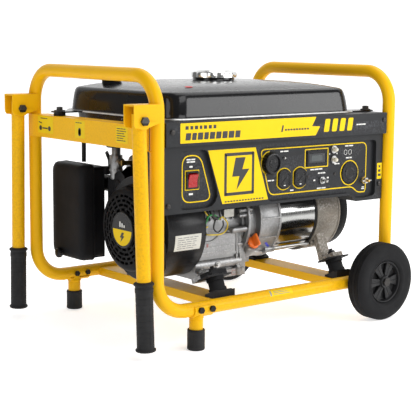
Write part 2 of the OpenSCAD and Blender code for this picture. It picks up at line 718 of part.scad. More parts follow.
// Section of the neck between the crankcase and the bell: a round of radius r over a sump
module neck_section(r, d) {
  circle(r);
  translate([d - 50, d - 87]) square([100 - 2 * d, 88 - d]);
}
module bell_housing() {
  neck_wall = 6;
  color(cast) difference() {
    union() {
      at_crank() rod_x(case_r, 10, stator_r);
      block([case_r, crank_y - 66, base_low], [12, crank_y + 66, crank_z - 20]);
      at_crank() along_x(case_r, bell_neck) neck_section(72, 0);
      at_crank() rod_x(bell_neck, bell_end, stator_r);
      at_through_bolts() rod_x(bell_end - 26, bell_end - 0.5, lug_r);
      at_filler() rod_y(-2, 44, 16);
    }
    // wet chamber on the crankcase side, dry bell on the alternator side
    at_crank() along_x(case_r - 1, bell_neck - 3) neck_section(60, neck_wall);
    at_crank() rod_x(bell_neck + 4, bell_end + 1, stator_r - 6);
    at_crank() rod_x(30, 50, 15 + run_fit);
    at_filler() rod_y(-3, 46, 9);
    at_through_bolts() rod_x(bell_end - 24.5, bell_end + 1, 3.1);
  }
}
module dipstick() {
  color([0.93, 0.42, 0.08]) at_filler() {
    rod_y(-2.4 + EPS, 12, 8.95);
    rod_y(-8, -2.2, 12.5);
    block([-3, -24, -11], [3, -8, 11]);
    rod_y(12, 55, 2);
  }
}
module cylinder_block() {
  color(cast) at_cylinder(case_x) difference() {
    union() {
      block([-50, 75.1, -50], [50, 80, 50]);
      rod_y(75.1, 150, 41);
      for (i = [0:6]) block([-54, 87 + 9 * i, -54], [54, 90 + 9 * i, 54]);
      block([-52, 150, -50], [52, 184, 50]);
    }
    rod_y(70, 152, 34);
    translate([0, 166, 0]) rod_x(-60, 60, 13);
  }
}
module valve_cover() {
  color(cast) at_cylinder(case_x) difference() {
    along_y(184.1, 210) polygon(rounded(-46, -40, 46, 40, 10));
    along_y(184, 207) polygon(rounded(-43, -37, 43, 37, 8));
  }
}
module shroud_outline(d) {
  circle(103 - d);
  rotate(cyl_tilt) translate([0, -66 + d]) square([105 - d, 116 - 2 * d]);
}
module fan_housing() {
  color(black) at_crank() difference() {
    along_x(shroud_l, shroud_r) shroud_outline(0);
    along_x(shroud_l + 2, shroud_r + 1) shroud_outline(2);
    rod_x(shroud_l - 1, shroud_l + 3, recoil_r - 14);
  }
}
recoil_front = -246;
rope_z = 42.1;
module recoil_cover() {
  color(black) at_crank() difference() {
    union() {
      difference() {
        rod_x(recoil_front, shroud_l, recoil_r);
        rod_x(recoil_front + 2.5, shroud_l + 1, recoil_r - 2.5);
      }
      rod_x(recoil_front - 3, recoil_front, 27);
      rod_x(recoil_front + 2.4, shroud_l - 8, 7.95);
    }
    for (k = [0:15]) rotate([22.5 * k, 0, 0]) {
      block([recoil_front - 1, 36, -4], [recoil_front + 3, 52, 4]);
      block([recoil_front - 1, 58, -6], [recoil_front + 3, 72, 6]);
    }
    translate([-229, 0, -rope_z]) rod_y(-recoil_r, 0, 2.6);
  }
}
module recoil_pulley() {
  color([0.85, 0.85, 0.8]) at_crank() difference() {
    union() { rod_x(-233, -225, 40); rod_x(-238, -233, 30); rod_x(-225, -222, 30); }
    rod_x(-240, -220, 8);
  }
}
module starter_grip() {
  color(black) at_crank() translate([-229, 0, -rope_z]) {
    rod_y(-94, 50, 1.75);
    along_x(-9, 9) polygon([[-94, -27], [-94, 27], [-102, 30], [-108, 20], [-108, -20], [-102, -30]]);
  }
}
crank_throw = 27;
module crankshaft() {
  color(steel) at_crank() {
    rod_x(-205, case_l - 2, 11);
    rod_x(case_l - 2, case_x - 24, 15);
    rod_x(case_x + 24, 60, 15);
    rod_x(60, 262, 12);
    for (s = [-1, 1]) along_x(case_x + (s > 0 ? 12 : -24), case_x + (s > 0 ? 24 : -12))
      intersection() { circle(50); translate([-24, -50]) square([48, 92]); }
    translate([0, 0, crank_throw]) rod_x(case_x - 12, case_x + 12, 12);
  }
}
module flywheel() {
  color(cast) at_crank() difference() {
    union() {
      rod_x(-176, -150, 78);
      for (k = [0:15]) rotate([22.5 * k, 0, 0]) block([-192, 50, -1.5], [-175, 84, 1.5]);
      rod_x(-190, -176, 24);
    }
    rod_x(-164, -149, 66);
    rod_x(-200, -140, 11 + run_fit);
  }
}
module rotor() {
  color([0.5, 0.32, 0.18]) at_crank() difference() {
    union() {
      for (a = [0, 180]) rotate([a, 0, 0]) along_x(105, 185) intersection() {
        circle(51);
        translate([0, -34]) square([60, 68]);
      }
      rod_x(105, 185, 30);
      rod_x(185, 195, 26);
    }
    rod_x(100, 200, 12 + run_fit);
  }
}

// ---------- intake and exhaust ----------
carb_y = 105;
carb_z = 285;
module carburettor() {
  color(cast) translate([0, carb_y, carb_z]) difference() {
    union() {
      rod_x(-185, case_x - 52.2, 15);
      block([-180, -17, -17], [-176, 17, 17]);
      block([case_x - 57, -17, -17], [case_x - 52.2, 17, 17]);
      translate([-150, 0, 0]) { rod_z(-24, 0, 14); rod_z(-44, -24, 16); }
      translate([-160, 0, 0]) rod_z(0, 17, 7);
      translate([-150, 0, -14]) rod_y(-23, -10, 3);
    }
    rod_x(-186, case_x - 50, 9);
  }
}
choke_c = [-191, 78, 316];
module choke_lever() {
  color(black) translate(choke_c) {
    rod_x(-9, 8, 3);
    along_x(-2, 1) polygon([[-5, -5], [5, -5], [8, 20], [18, 34], [12, 38], [0, 24]]);
  }
}
cleaner_x = [-262, -231, -205];
cleaner_y = [76, 198];
cleaner_z = [130, 329];
module air_cleaner_base() {
  color(black) {
    difference() {
      along_x(cleaner_x[1], cleaner_x[2])
        polygon(rounded(cleaner_y[0] + 4, cleaner_z[0] + 5, cleaner_y[1] - 4, cleaner_z[1] - 5, 12));
      along_x(cleaner_x[1] - 1, cleaner_x[2] - 3)
        polygon(rounded(cleaner_y[0] + 7, cleaner_z[0] + 8, cleaner_y[1] - 7, cleaner_z[1] - 8, 10));
      translate([0, carb_y, carb_z]) rod_x(-230, -190, 12);
      translate([0, knob_c[0], knob_c[1]]) rod_x(-232, -190, 3.2);
    }
    translate([0, carb_y, carb_z]) difference() { rod_x(-205, -185.1, 15); rod_x(-206, -185, 12); }
    // boss for the choke shaft
    translate([choke_c[0], choke_c[1], choke_c[2]]) difference() {
      block([-16, -8, -8], [-2.3, 8, 8]);
      rod_x(-10, -2, 3 + run_fit);
    }
    difference() {
      translate([0, knob_c[0], knob_c[1]]) rod_x(-230, -208, 7);
      translate([0, knob_c[0], knob_c[1]]) rod_x(-231, -209, 3 + run_fit);
    }
  }
}
knob_c = [160, 139];
module air_cleaner_cover() {
  color(black) difference() {
    along_x(cleaner_x[0], cleaner_x[1] - 0.2)
      polygon(rounded(cleaner_y[0], cleaner_z[0], cleaner_y[1], cleaner_z[1], 14));
    along_x(cleaner_x[0] + 3, cleaner_x[1] + 1)
      polygon(rounded(cleaner_y[0] + 3, cleaner_z[0] + 3, cleaner_y[1] - 3, cleaner_z[1] - 3, 11));
    translate([0, knob_c[0], knob_c[1]]) rod_x(-270, -250, 3.3);
  }
}
module air_cleaner_knob() {
  color(black) translate([0, knob_c[0], knob_c[1]]) {
    rod_x(-272, cleaner_x[0] - 0.2, 10);
    rod_x(cleaner_x[0] - 0.2, -214, 3);
  }
}
muffler_x = [14, 192];
module muffler() {
  t = 1.5;
  color([0.55, 0.55, 0.54]) {
    difference() {
      along_x(muffler_x[0], muffler_x[1]) polygon(rounded(72, 258, 190, 356, 34));
      along_x(muffler_x[0] + t, muffler_x[1] - t) polygon(rounded(72 + t, 258 + t, 190 - t, 356 - t, 33));
      translate([150, 0, 307]) rod_y(180, 200, 11);
    }
    translate([150, 0, 307]) difference() { rod_y(189, 220, 12.5); rod_y(188, 221, 11); }
    at_cylinder(case_x) translate([0, 166, 0]) difference() {
      rod_x(52.1, muffler_x[0] - case_x + t, 15);
      rod_x(52, muffler_x[0] - case_x + t + 1, 12.5);
    }
  }
}

// ---------- alternator ----------
module stator() {
  color(steel) at_crank() difference() {
    rod_x(bell_end + 0.1, stator_end, stator_r - 4);
    rod_x(bell_end - 1, stator_end + 1, 53);
    for (a = [0:15:345]) rotate([a, 0, 0]) block([bell_end - 1, 52, -3], [stator_end + 1, 68, 3]);
  }
}
module end_bell() {
  wall = 6;
  color([0.6, 0.56, 0.5]) difference() {
    union() {
      at_crank() difference() {
        rod_x(stator_end + 0.1, bell_back, stator_r);
        rod_x(stator_end, bell_back - 7, stator_r - wall);
      }
      at_crank() rod_x(250, 262, 26);
      at_through_bolts() rod_x(stator_end + 0.1, lug_end, lug_r);
      // feet over the rubber mounts
      translate([alt_mount_x, crank_y, 0]) for (s = [-1, 1]) {
        translate([0, s * mount_dy, 0]) at_mount_top(s)
          block([-14, s > 0 ? -30 : -17, 0.1], [14, s > 0 ? 17 : 30, 9]);
        along_x(-12, 12) polygon([[s * 65, 161.5], [s * 73.5, 175], [s * 96, 122], [s * 95, 119],
          [s * 86, 112]]);
      }
    }
    at_crank() rod_x(240, 270, 12 + run_fit);
    at_crank() rod_x(stator_end, 240, stator_r - wall);
    at_through_bolts() { rod_x(stator_end - 8, lug_end + 1, 3.1); rod_x(lug_end, lug_end + 6, 6.6); }
    // vents in the rear half
    at_crank() for (a = [-60:20:80]) rotate([a, 0, 0]) block([228, 70, -4], [252, 95, 4]);
    for (s = [-1, 1]) translate([alt_mount_x, crank_y + s * mount_dy, 0])
      at_mount_top(s) rod_z(-1, 12, 4.2);
  }
}
module end_cover() {
  color(black) at_crank() difference() {
    rod_x(bell_back + 0.1, 292, 82);
    rod_x(bell_back, 289, 79);
    for (z = [-50:14:48]) block([285, -45, z], [295, 45, z + 6]);
  }
}

left_hoop();
right_hoop();
side_rails();
crossmembers();
crossbars();
handle_brackets();
legs();
leg_boots();
wheel_axles();
bolts();
front_wheel_hub();
front_tyre();
rear_wheel_hub();
rear_tyre();
front_handle_tube();
rear_handle_tube();
front_grip();
rear_grip();
fuel_tank();
fuel_cap();
fuel_cap_gasket();
fuel_gauge();
fuel_valve_body();
fuel_valve_lever();
sediment_bowl();
fuel_hoses();
control_panel();
panel_back_cover();
switch_housing();
switch_rocker();
receptacles();
hour_meter();
panel_bushings();
breaker_button_upper();
breaker_button_lower();
voltage_toggle();
ground_stud();
ground_wing_nut();
crankcase();
bell_housing();
cylinder_block();
valve_cover();
fan_housing();
recoil_cover();
recoil_pulley();
starter_grip();
crankshaft();
flywheel();
rotor();
dipstick();
carburettor();
choke_lever();
air_cleaner_base();
air_cleaner_cover();
air_cleaner_knob();
muffler();
stator();
end_bell();
end_cover();
rubber_mounts();
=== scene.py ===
"""Looks of the open-frame portable generator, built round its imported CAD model.

Shapes are worked out in millimetres and scaled to metres when a piece is made.
+X runs towards the wheels, -Y is the control-panel side, +Z is up.
"""
import math

import bmesh
import bpy
from mathutils import Matrix, Vector


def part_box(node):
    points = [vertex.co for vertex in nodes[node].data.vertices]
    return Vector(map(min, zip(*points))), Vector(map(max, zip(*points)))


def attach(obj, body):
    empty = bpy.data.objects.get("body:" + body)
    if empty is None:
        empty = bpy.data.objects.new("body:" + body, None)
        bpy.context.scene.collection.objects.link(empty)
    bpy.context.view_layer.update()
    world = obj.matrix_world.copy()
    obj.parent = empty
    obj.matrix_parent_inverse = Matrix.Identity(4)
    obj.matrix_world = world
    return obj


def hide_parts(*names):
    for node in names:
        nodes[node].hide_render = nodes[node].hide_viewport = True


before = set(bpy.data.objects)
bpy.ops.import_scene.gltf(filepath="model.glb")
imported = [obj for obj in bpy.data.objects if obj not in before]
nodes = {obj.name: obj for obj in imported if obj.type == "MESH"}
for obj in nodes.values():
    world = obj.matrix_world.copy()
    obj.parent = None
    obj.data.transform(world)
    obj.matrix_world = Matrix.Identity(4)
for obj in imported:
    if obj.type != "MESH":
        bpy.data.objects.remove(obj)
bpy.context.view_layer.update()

# ---------- driving dimensions, in millimetres ----------
TO_METRES = 0.001
TUBE_R = 13.35
POST_Y = 215  # centres of the frame's tubes: posts, the two hoops and the rails
LEFT_X = -288
RIGHT_X = 321
RAIL_Z = 79
BEND_R = 65
CRANK_Y = -48
CRANK_Z = 213
STATOR_R = 86
WHEEL_X = 269.5
WHEEL_R = 81.5
WHEEL_IN = 231
WHEEL_OUT = 274
PANEL_FRONT = -215  # the panel's face, its raised upper band and the floor of its two pockets
BAND_FRONT = -225
POCKET_FLOOR = -207
CAP_X = 16
TANK_TOP = 500
DECAL = 0.25  # how far a printed layer stands off the face under it
HAIR = 0.02  # the gap that keeps a printed layer's back off that face
MOUNT_X = -110
SEAT_Z = 92.1
CROSSMEMBERS = (MOUNT_X, 217)
LEG_X = -195
JOINT_R = 78
BASE_BOLTS = (-105, -12)
FILLER = (23, -122, 168)  # bearing face of the oil filler, and the way it points
FILLER_AXIS = (0, -0.819, 0.5736)
UP = (0, 0, 1)
FRONT = (0, -1, 0)
LEFT = (-1, 0, 0)
RIGHT = (1, 0, 0)


def mm_box(node):
    """Lowest and highest corner of a CAD node, in millimetres."""
    return [corner / TO_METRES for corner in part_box(node)]


# ---------- materials ----------
class Nodes:
    """A short way to write a node graph for one material."""

    def __init__(self, name):
        self.material = bpy.data.materials.new(name)
        self.material.use_nodes = True
        self.tree = self.material.node_tree
        self.shader = self.tree.nodes["Principled BSDF"]
        coordinates = self.add("ShaderNodeTexCoord")
        self.place = coordinates.outputs["Object"]

    def add(self, kind, **values):
        node = self.tree.nodes.new(kind)
        for key, value in values.items():
            if key in node.inputs:
                node.inputs[key].default_value = value
            else:
                setattr(node, key, value)
        return node

    def link(self, source, target):
        self.tree.links.new(source, target)

    def noise(self, scale, detail=4, stretch=None):
        node = self.add("ShaderNodeTexNoise", Scale=scale, Detail=detail, Roughness=0.55)
        place = self.place
        if stretch:
            mapping = self.add("ShaderNodeMapping")
            mapping.inputs["Scale"].default_value = stretch
            self.link(place, mapping.inputs["Vector"])
            place = mapping.outputs["Vector"]
        self.link(place, node.inputs["Vector"])
        return node.outputs["Fac"]

    def ramp(self, source, stops):
        node = self.add("ShaderNodeValToRGB")
        ramp = node.color_ramp
        while len(ramp.elements) < len(stops):
            ramp.elements.new(0.5)
        for element, (position, color) in zip(ramp.elements, stops):
            element.position = position
            element.color = (*color, 1)
        self.link(source, node.inputs["Fac"])
        return node.outputs["Color"]

    def remap(self, source, low, high, from_low=0, from_high=1):
        limits = {"From Min": from_low, "From Max": from_high, "To Min": low, "To Max": high}
        node = self.add("ShaderNodeMapRange", **limits)
        self.link(source, node.inputs["Value"])
        return node.outputs["Result"]

    def mix(self, factor, first, second):
        node = self.add("ShaderNodeMix", data_type="RGBA")
        self.link(factor, node.inputs["Factor"])
        for socket, value in ((node.inputs[6], first), (node.inputs[7], second)):
            if isinstance(value, tuple):
                socket.default_value = (*value, 1)
            else:
                self.link(value, socket)
        return node.outputs[2]

    def bump(self, height, strength, distance_mm):
        node = self.add("ShaderNodeBump", Strength=strength, Distance=distance_mm * TO_METRES)
        self.link(height, node.inputs["Height"])
        existing = self.shader.inputs["Normal"].links
        if existing:
            self.link(existing[0].from_socket, node.inputs["Normal"])
        self.link(node.outputs["Normal"], self.shader.inputs["Normal"])


def shade(color, factor):
    return tuple(min(1, c * factor) for c in color)


def surface(name, color, rough, mottle, patch, grain, grain_depth, metal=0, wave=None, coat=0,
        coat_rough=0.1, wear=None, wear_amount=0.5, dust=0, specular=0.5):
    """Colour varies by mottle over patches, roughness with it, and a fine grain stands in the normal.

    patch and grain are noise scales; grain_depth and the depth in wave are in millimetres.
    """
    n = Nodes(name)
    n.shader.inputs["Metallic"].default_value = metal
    n.shader.inputs["Coat Weight"].default_value = coat
    n.shader.inputs["Coat Roughness"].default_value = coat_rough
    n.shader.inputs["Specular IOR Level"].default_value = specular
    patches = n.noise(patch)
    tint = n.ramp(patches, [(0.3, shade(color, 1 - mottle)), (0.7, shade(color, 1 + mottle))])
    if wear:
        edge = n.add("ShaderNodeNewGeometry").outputs["Pointiness"]
        edge = n.remap(edge, 0, wear_amount, 0.53, 0.62)
        chips = n.remap(n.noise(260, detail=6), 0, 1, 0.45, 0.62)
        both = n.add("ShaderNodeMath", operation="MULTIPLY")
        n.link(edge, both.inputs[0])
        n.link(chips, both.inputs[1])
        tint = n.mix(both.outputs["Value"], tint, wear)
    if dust:
        film = n.remap(n.noise(14, detail=6), 0, dust, 0.42, 0.75)
        tint = n.mix(film, tint, (0.32, 0.3, 0.27))
    n.link(tint, n.shader.inputs["Base Color"])
    smudge = n.noise(patch * 2.3, detail=6)
    n.link(n.remap(smudge, max(0.02, rough - 0.08), min(1, rough + 0.1)), n.shader.inputs["Roughness"])
    if grain_depth:
        n.bump(n.noise(grain, detail=3), 0.5, grain_depth)
    if wave:
        scale, depth = wave
        n.bump(n.noise(scale, detail=1.5), 0.6, depth)
    return n.material


def brushed(name, color, rough, stretch, depth=0.02):
    """Metal with fine lines: stretch is the scale of the lines along X, Y and Z."""
    n = Nodes(name)
    n.shader.inputs["Metallic"].default_value = 1
    lines = n.noise(1, detail=5, stretch=stretch)
    n.link(n.ramp(lines, [(0.25, shade(color, 0.8)), (0.75, color)]), n.shader.inputs["Base Color"])
    n.link(n.remap(lines, rough * 0.7, rough * 1.4), n.shader.inputs["Roughness"])
    n.bump(lines, 0.4, depth)
    n.bump(n.noise(45), 0.3, 0.15)
    return n.material


def banded(name, low_color, high_color, level_mm, rough):
    """Dark steel above a level and black rubber below it, for bolts that stand on pads."""
    n = Nodes(name)
    separate = n.add("ShaderNodeSeparateXYZ")
    n.link(n.place, separate.inputs["Vector"])
    height = n.remap(separate.outputs["Z"], 0, 1, (level_mm - 0.2) * TO_METRES,
        (level_mm + 0.2) * TO_METRES)
    grain = n.ramp(n.noise(220), [(0.3, shade(high_color, 0.7)), (0.7, shade(high_color, 1.3))])
    n.link(n.mix(height, low_color, grain), n.shader.inputs["Base Color"])
    n.shader.inputs["Metallic"].default_value = 0.6
    n.link(n.remap(n.noise(120), rough - 0.1, rough + 0.15), n.shader.inputs["Roughness"])
    n.bump(n.noise(700), 0.4, 0.05)
    return n.material


paint = surface("yellow_powder_coat", (0.84, 0.455, 0.004), 0.36, 0.035, 9, 420, 0.05, wave=(140, 0.12),
    coat=0.05, coat_rough=0.25, wear=(0.5, 0.24, 0.015), wear_amount=0.3, specular=0.12)
tank_paint = surface("tank_gloss_black", (0.008, 0.008, 0.009), 0.26, 0.1, 8, 300, 0.012, wave=(40, 0.08),
    coat=0.5, coat_rough=0.13, specular=0.05)
panel_paint = surface("panel_textured_black", (0.02, 0.021, 0.023), 0.42, 0.12, 20, 620, 0.06,
    wear=(0.08, 0.08, 0.09), specular=0.18)
shroud_paint = surface("shroud_satin_black", (0.01, 0.01, 0.011), 0.3, 0.15, 16, 380, 0.04, wave=(70, 0.1),
    wear=(0.07, 0.07, 0.08), specular=0.22)
moulded = surface("moulded_black_plastic", (0.009, 0.009, 0.01), 0.46, 0.18, 22, 1300, 0.05,
    wear=(0.03, 0.03, 0.032), specular=0.08)
fitting_black = surface("fitting_black_plastic", (0.006, 0.006, 0.007), 0.28, 0.1, 60, 1500, 0.02,
    specular=0.3)
rubber = surface("moulded_rubber", (0.013, 0.013, 0.014), 0.62, 0.2, 35, 1100, 0.1, wave=(180, 0.1),
    dust=0.015, specular=0.25)
tyre_rubber = surface("tyre_rubber", (0.012, 0.012, 0.013), 0.7, 0.2, 25, 800, 0.12, wave=(90, 0.12),
    dust=0.01, specular=0.12)
wheel_plastic = surface("wheel_plastic", (0.012, 0.012, 0.013), 0.5, 0.12, 30, 1200, 0.06,
    wear=(0.06, 0.06, 0.06), specular=0.3)
cast = surface("cast_aluminium", (0.27, 0.27, 0.27), 0.4, 0.16, 26, 520, 0.09, metal=0.8, wave=(70, 0.35),
    wear=(0.8, 0.8, 0.8))
bell_cast = surface("bell_cast_warm_grey", (0.22, 0.2, 0.17), 0.52, 0.1, 22, 500, 0.025, metal=0.5,
    wave=(60, 0.15), wear=(0.6, 0.58, 0.55))
stator_steel = brushed("stator_bright_steel", (0.36, 0.36, 0.35), 0.13, (1500, 25, 25), 0.01)
chrome = surface("cap_chrome", (0.68, 0.68, 0.67), 0.15, 0.03, 40, 500, 0.006, metal=1)
# also used as a painted highlight along the tank's black seam edge
zinc_and_painted_highlight = surface("zinc_steel_and_painted_highlight", (0.46, 0.46, 0.45), 0.3, 0.15, 120, 900, 0.03, metal=1)
dark_steel = surface("black_oxide_steel", (0.045, 0.042, 0.04), 0.38, 0.25, 150, 900, 0.04, metal=0.8)
bolt_steel = banded("bolts_on_pads", (0.012, 0.012, 0.012), (0.06, 0.056, 0.052), 437, 0.42)
brass = surface("brass", (0.6, 0.4, 0.13), 0.32, 0.2, 120, 900, 0.03, metal=1)
red_plastic = surface("red_rocker", (0.36, 0.008, 0.009), 0.25, 0.1, 90, 800, 0.01, coat=0.15, specular=0.35)
ivory = surface("ivory_button", (0.66, 0.62, 0.5), 0.3, 0.08, 200, 900, 0.02)
orange = surface("orange_cap", (0.86, 0.17, 0.015), 0.36, 0.08, 60, 900, 0.05)
hot_steel = surface("muffler_steel", (0.36, 0.33, 0.29), 0.42, 0.35, 11, 500, 0.06, metal=0.9,
    wear=(0.6, 0.5, 0.4))
winding = surface("varnished_iron", (0.16, 0.07, 0.03), 0.38, 0.3, 60, 700, 0.1, metal=0.6)
nylon = surface("dark_nylon", (0.05, 0.05, 0.05), 0.45, 0.15, 60, 900, 0.03)
print_yellow = surface("printed_yellow", (0.8, 0.55, 0.007), 0.4, 0.03, 15, 700, 0.012, specular=0.12)
# printed black, also used as painted shade in the joint between the stator and the end bell
print_and_shade_black = surface("printed_and_shade_black", (0.012, 0.012, 0.013), 0.38, 0.1, 50, 700, 0.01)
# near-black sheet that stands in for painted shade behind the recoil slots
painted_shade_black = surface("painted_shade_screen", (0.0012, 0.0012, 0.0013), 0.9, 0.2, 60, 900, 0.05, specular=0.05)
print_white = surface("printed_white", (0.72, 0.72, 0.69), 0.42, 0.05, 50, 700, 0.01)
label_paper = surface("label_silver_white", (0.62, 0.61, 0.55), 0.4, 0.08, 60, 600, 0.03)
label_grey = surface("label_grey_print", (0.25, 0.25, 0.24), 0.45, 0.1, 90, 600, 0.01)
mark_red = surface("red_mark", (0.55, 0.03, 0.03), 0.5, 0.2, 300, 900, 0.02)
mark_faint = surface("faint_red_stamp", (0.34, 0.13, 0.12), 0.5, 0.4, 300, 900, 0.02)
mark_blue = surface("blue_paint_mark", (0.02, 0.03, 0.45), 0.4, 0.2, 300, 900, 0.02)
display_glass = surface("display_window", (0.012, 0.014, 0.016), 0.1, 0.1, 80, 900, 0, coat=0.9,
    coat_rough=0.05)
display_face = surface("display_face", (0.05, 0.06, 0.06), 0.35, 0.1, 80, 900, 0.01)
green_wire = surface("green_wire", (0.02, 0.3, 0.05), 0.38, 0.1, 90, 900, 0.02)
yellow_wire = surface("yellow_wire", (0.72, 0.52, 0.03), 0.38, 0.1, 90, 900, 0.02)
black_wire = surface("black_wire", (0.015, 0.015, 0.016), 0.42, 0.1, 90, 900, 0.02)


# ---------- mesh building ----------
def arc(cx, cy, r, start, end, steps):
    angles = [math.radians(start + (end - start) * i / steps) for i in range(steps + 1)]
    return [(cx + r * math.cos(a), cy + r * math.sin(a)) for a in angles]


def around(count, r, start=0):
    """Offsets evenly spaced on a circle, from the start angle in degrees."""
    angles = [math.radians(start) + 2 * math.pi * k / count for k in range(count)]
    return [(r * math.cos(a), r * math.sin(a)) for a in angles]


def band(x0, x1, inner, outer):
    """Section of a plain ring, as (along, radius) points."""
    return [(x0, inner), (x0, outer), (x1, outer), (x1, inner)]


def lip(x0, x1, r, foot, edge):
    """Section of a raised band with softened edges, standing on radius foot."""
    return [(x0, foot), (x0, r - edge), (x0 + edge, r), (x1 - edge, r), (x1, r - edge), (x1, foot)]


def rounded(x0, y0, x1, y1, r, steps=6):
    """Rounded rectangle, anticlockwise."""
    return (arc(x1 - r, y1 - r, r, 0, 90, steps) + arc(x0 + r, y1 - r, r, 90, 180, steps)
        + arc(x0 + r, y0 + r, r, 180, 270, steps) + arc(x1 - r, y0 + r, r, 270, 360, steps))


def soften(points, r, steps=5):
    """A closed outline with each corner rounded to about r."""
    out = []
    count = len(points)
    for i, point in enumerate(points):
        p = Vector(point)
        a = Vector(points[i - 1]) - p
        b = Vector(points[(i + 1) % count]) - p
        reach = min(r, a.length * 0.45, b.length * 0.45)
        start, end = p + a.normalized() * reach, p + b.normalized() * reach
        for k in range(steps + 1):
            t = k / steps
            out.append(tuple(start * (1 - t) ** 2 + p * 2 * t * (1 - t) + end * t * t))
    return out


def inset(points, width):
    """A closed anticlockwise outline moved inwards by width, corners mitred."""
    out = []
    count = len(points)
    for i, point in enumerate(points):
        p, a, b = Vector(point), Vector(points[i - 1]), Vector(points[(i + 1) % count])
        before, after = (p - a).normalized(), (b - p).normalized()
        normal = Vector((-before.y, before.x)) + Vector((-after.y, after.x))
        if normal.length < 1e-6:
            normal = Vector((-after.y, after.x))
        normal.normalize()
        share = max(0.4, normal.dot(Vector((-after.y, after.x))))
        out.append(tuple(p + normal * (width / share)))
    return out


class Shape:
    """Collects solids in one mesh, in millimetres."""

    def __init__(self):
        self.bm = bmesh.new()

    def loft(self, rings, closed=False):
        """Rings of points joined in order. A ring of one point closes to a tip."""
        made = [[self.bm.verts.new(p) for p in ring] for ring in rings]
        pairs = list(zip(made, made[1:]))
        if closed:
            pairs.append((made[-1], made[0]))
        for a, b in pairs:
            n = max(len(a), len(b))
            for k in range(n):
                corners = [a[k % len(a)], a[(k + 1) % len(a)], b[(k + 1) % len(b)], b[k % len(b)]]
                unique = list(dict.fromkeys(corners))
                if len(unique) > 2:
                    self.bm.faces.new(unique)
        if not closed:
            for ring in (made[0], made[-1]):
                if len(ring) > 2:
                    self.bm.faces.new(ring)
        return self

    def box(self, low, high):
        (x0, y0, z0), (x1, y1, z1) = low, high
        corners = [(x0, y0), (x1, y0), (x1, y1), (x0, y1)]
        return self.loft([[(x, y, z0) for x, y in corners], [(x, y, z1) for x, y in corners]])

    def lathe(self, base, axis, profile, n=64, closed=False):
        """Turns (along, radius) points about axis through base."""
        base, axis = Vector(base), Vector(axis).normalized()
        side = axis.orthogonal().normalized()
        other = axis.cross(side)
        rings = []
        for along, r in profile:
            centre = base + axis * along
            if r < 1e-6:
                rings.append([centre])
                continue
            rings.append([centre + u * side + v * other for u, v in around(n, r)])
        return self.loft(rings, closed=closed)

    def round_crank(self, profile, n=64, way=1):
        """Turns (along, radius) points about the crank axis, along +X or -X."""
        return self.lathe((0, CRANK_Y, CRANK_Z), (way, 0, 0), profile, n)

    def rod(self, a, b, r, r2=None, n=32):
        span = Vector(b) - Vector(a)
        return self.lathe(a, span, [(0, r), (span.length, r if r2 is None else r2)], n)

    def bolt(self, at, axis, r, h):
        """Hex head with a chamfer on a round washer; at is the bearing face."""
        axis = Vector(axis).normalized()
        washer = r * 1.35
        self.lathe(at, axis, [(0, washer), (r * 0.18, washer), (r * 0.22, washer * 0.97)], 32)
        self.lathe(at, axis, [(r * 0.2, r), (h * 0.8, r), (h, r * 0.82)], 6)
        return self.lathe(at, axis, [(h * 0.7, r * 0.5), (h + r * 0.25, r * 0.5), (h + r * 0.3, r * 0.4)], 24)

    def plate_y(self, outline, y0, y1):
        """An (x, z) outline from y0 to y1."""
        return self.loft([[(x, y0, z) for x, z in outline], [(x, y1, z) for x, z in outline]])

    def plate_x(self, outline, x0, x1):
        """A (y, z) outline from x0 to x1."""
        return self.loft([[(x0, y, z) for y, z in outline], [(x1, y, z) for y, z in outline]])

    def plate_z(self, outline, z0, z1):
        return self.loft([[(x, y, z0) for x, y in outline], [(x, y, z1) for x, y in outline]])

    def strip_y(self, outline, width, y0, y1):
        """A printed line of that width along the inside of a closed (x, z) outline."""
        inner = inset(outline, width)
        rings = [[(x, y0, z) for x, z in outline], [(x, y0, z) for x, z in inner],
            [(x, y1, z) for x, z in inner], [(x, y1, z) for x, z in outline]]
        return self.loft(rings, closed=True)

    def tube(self, points, r, n=12, steps=6):
        """A round tube along a smooth curve through the points."""
        path = smooth_path(points, steps)
        normal = (path[1] - path[0]).orthogonal().normalized()
        rings = []
        for i, p in enumerate(path):
            along = (path[min(i + 1, len(path) - 1)] - path[max(i - 1, 0)]).normalized()
            normal = (normal - along * normal.dot(along)).normalized()
            other = along.cross(normal)
            rings.append([p + u * normal + v * other for u, v in around(n, r)])
        return self.loft(rings)

    def turned(self, matrix):
        """Everything in the shape so far, moved by a matrix in millimetres."""
        self.bm.transform(matrix)
        return self


def smooth_path(points, steps):
    """Catmull-Rom curve through the points."""
    p = [Vector(q) for q in points]
    p = [p[0] * 2 - p[1]] + p + [p[-1] * 2 - p[-2]]
    out = []
    for i in range(1, len(p) - 2):
        for k in range(steps):
            t = k / steps
            out.append(0.5 * ((2 * p[i]) + (p[i + 1] - p[i - 1]) * t
                + (2 * p[i - 1] - 5 * p[i] + 4 * p[i + 1] - p[i + 2]) * t * t
                + (3 * p[i] - p[i - 1] - 3 * p[i + 1] + p[i + 2]) * t ** 3))
    return out + [p[-2]]


def piece(name, shape, look, replaces=(), bevel=0, sharp=32, body="frame"):
    """Turns a shape into a piece that rides on a body."""
    bm = shape.bm
    bmesh.ops.recalc_face_normals(bm, faces=bm.faces)
    bm.transform(Matrix.Scale(TO_METRES, 4))
    limit = math.radians(sharp)
    for face in bm.faces:
        face.smooth = True
    for edge in bm.edges:
        edge.smooth = len(edge.link_faces) == 2 and edge.calc_face_angle(0) < limit
    mesh = bpy.data.meshes.new(name)
    bm.to_mesh(mesh)
    bm.free()
    mesh.materials.append(look)
    obj = bpy.data.objects.new(name, mesh)
    bpy.context.scene.collection.objects.link(obj)
    if bevel:
        round_edges(obj, bevel, sharp)
    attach(obj, body)
    if replaces:
        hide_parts(*replaces)
    return obj


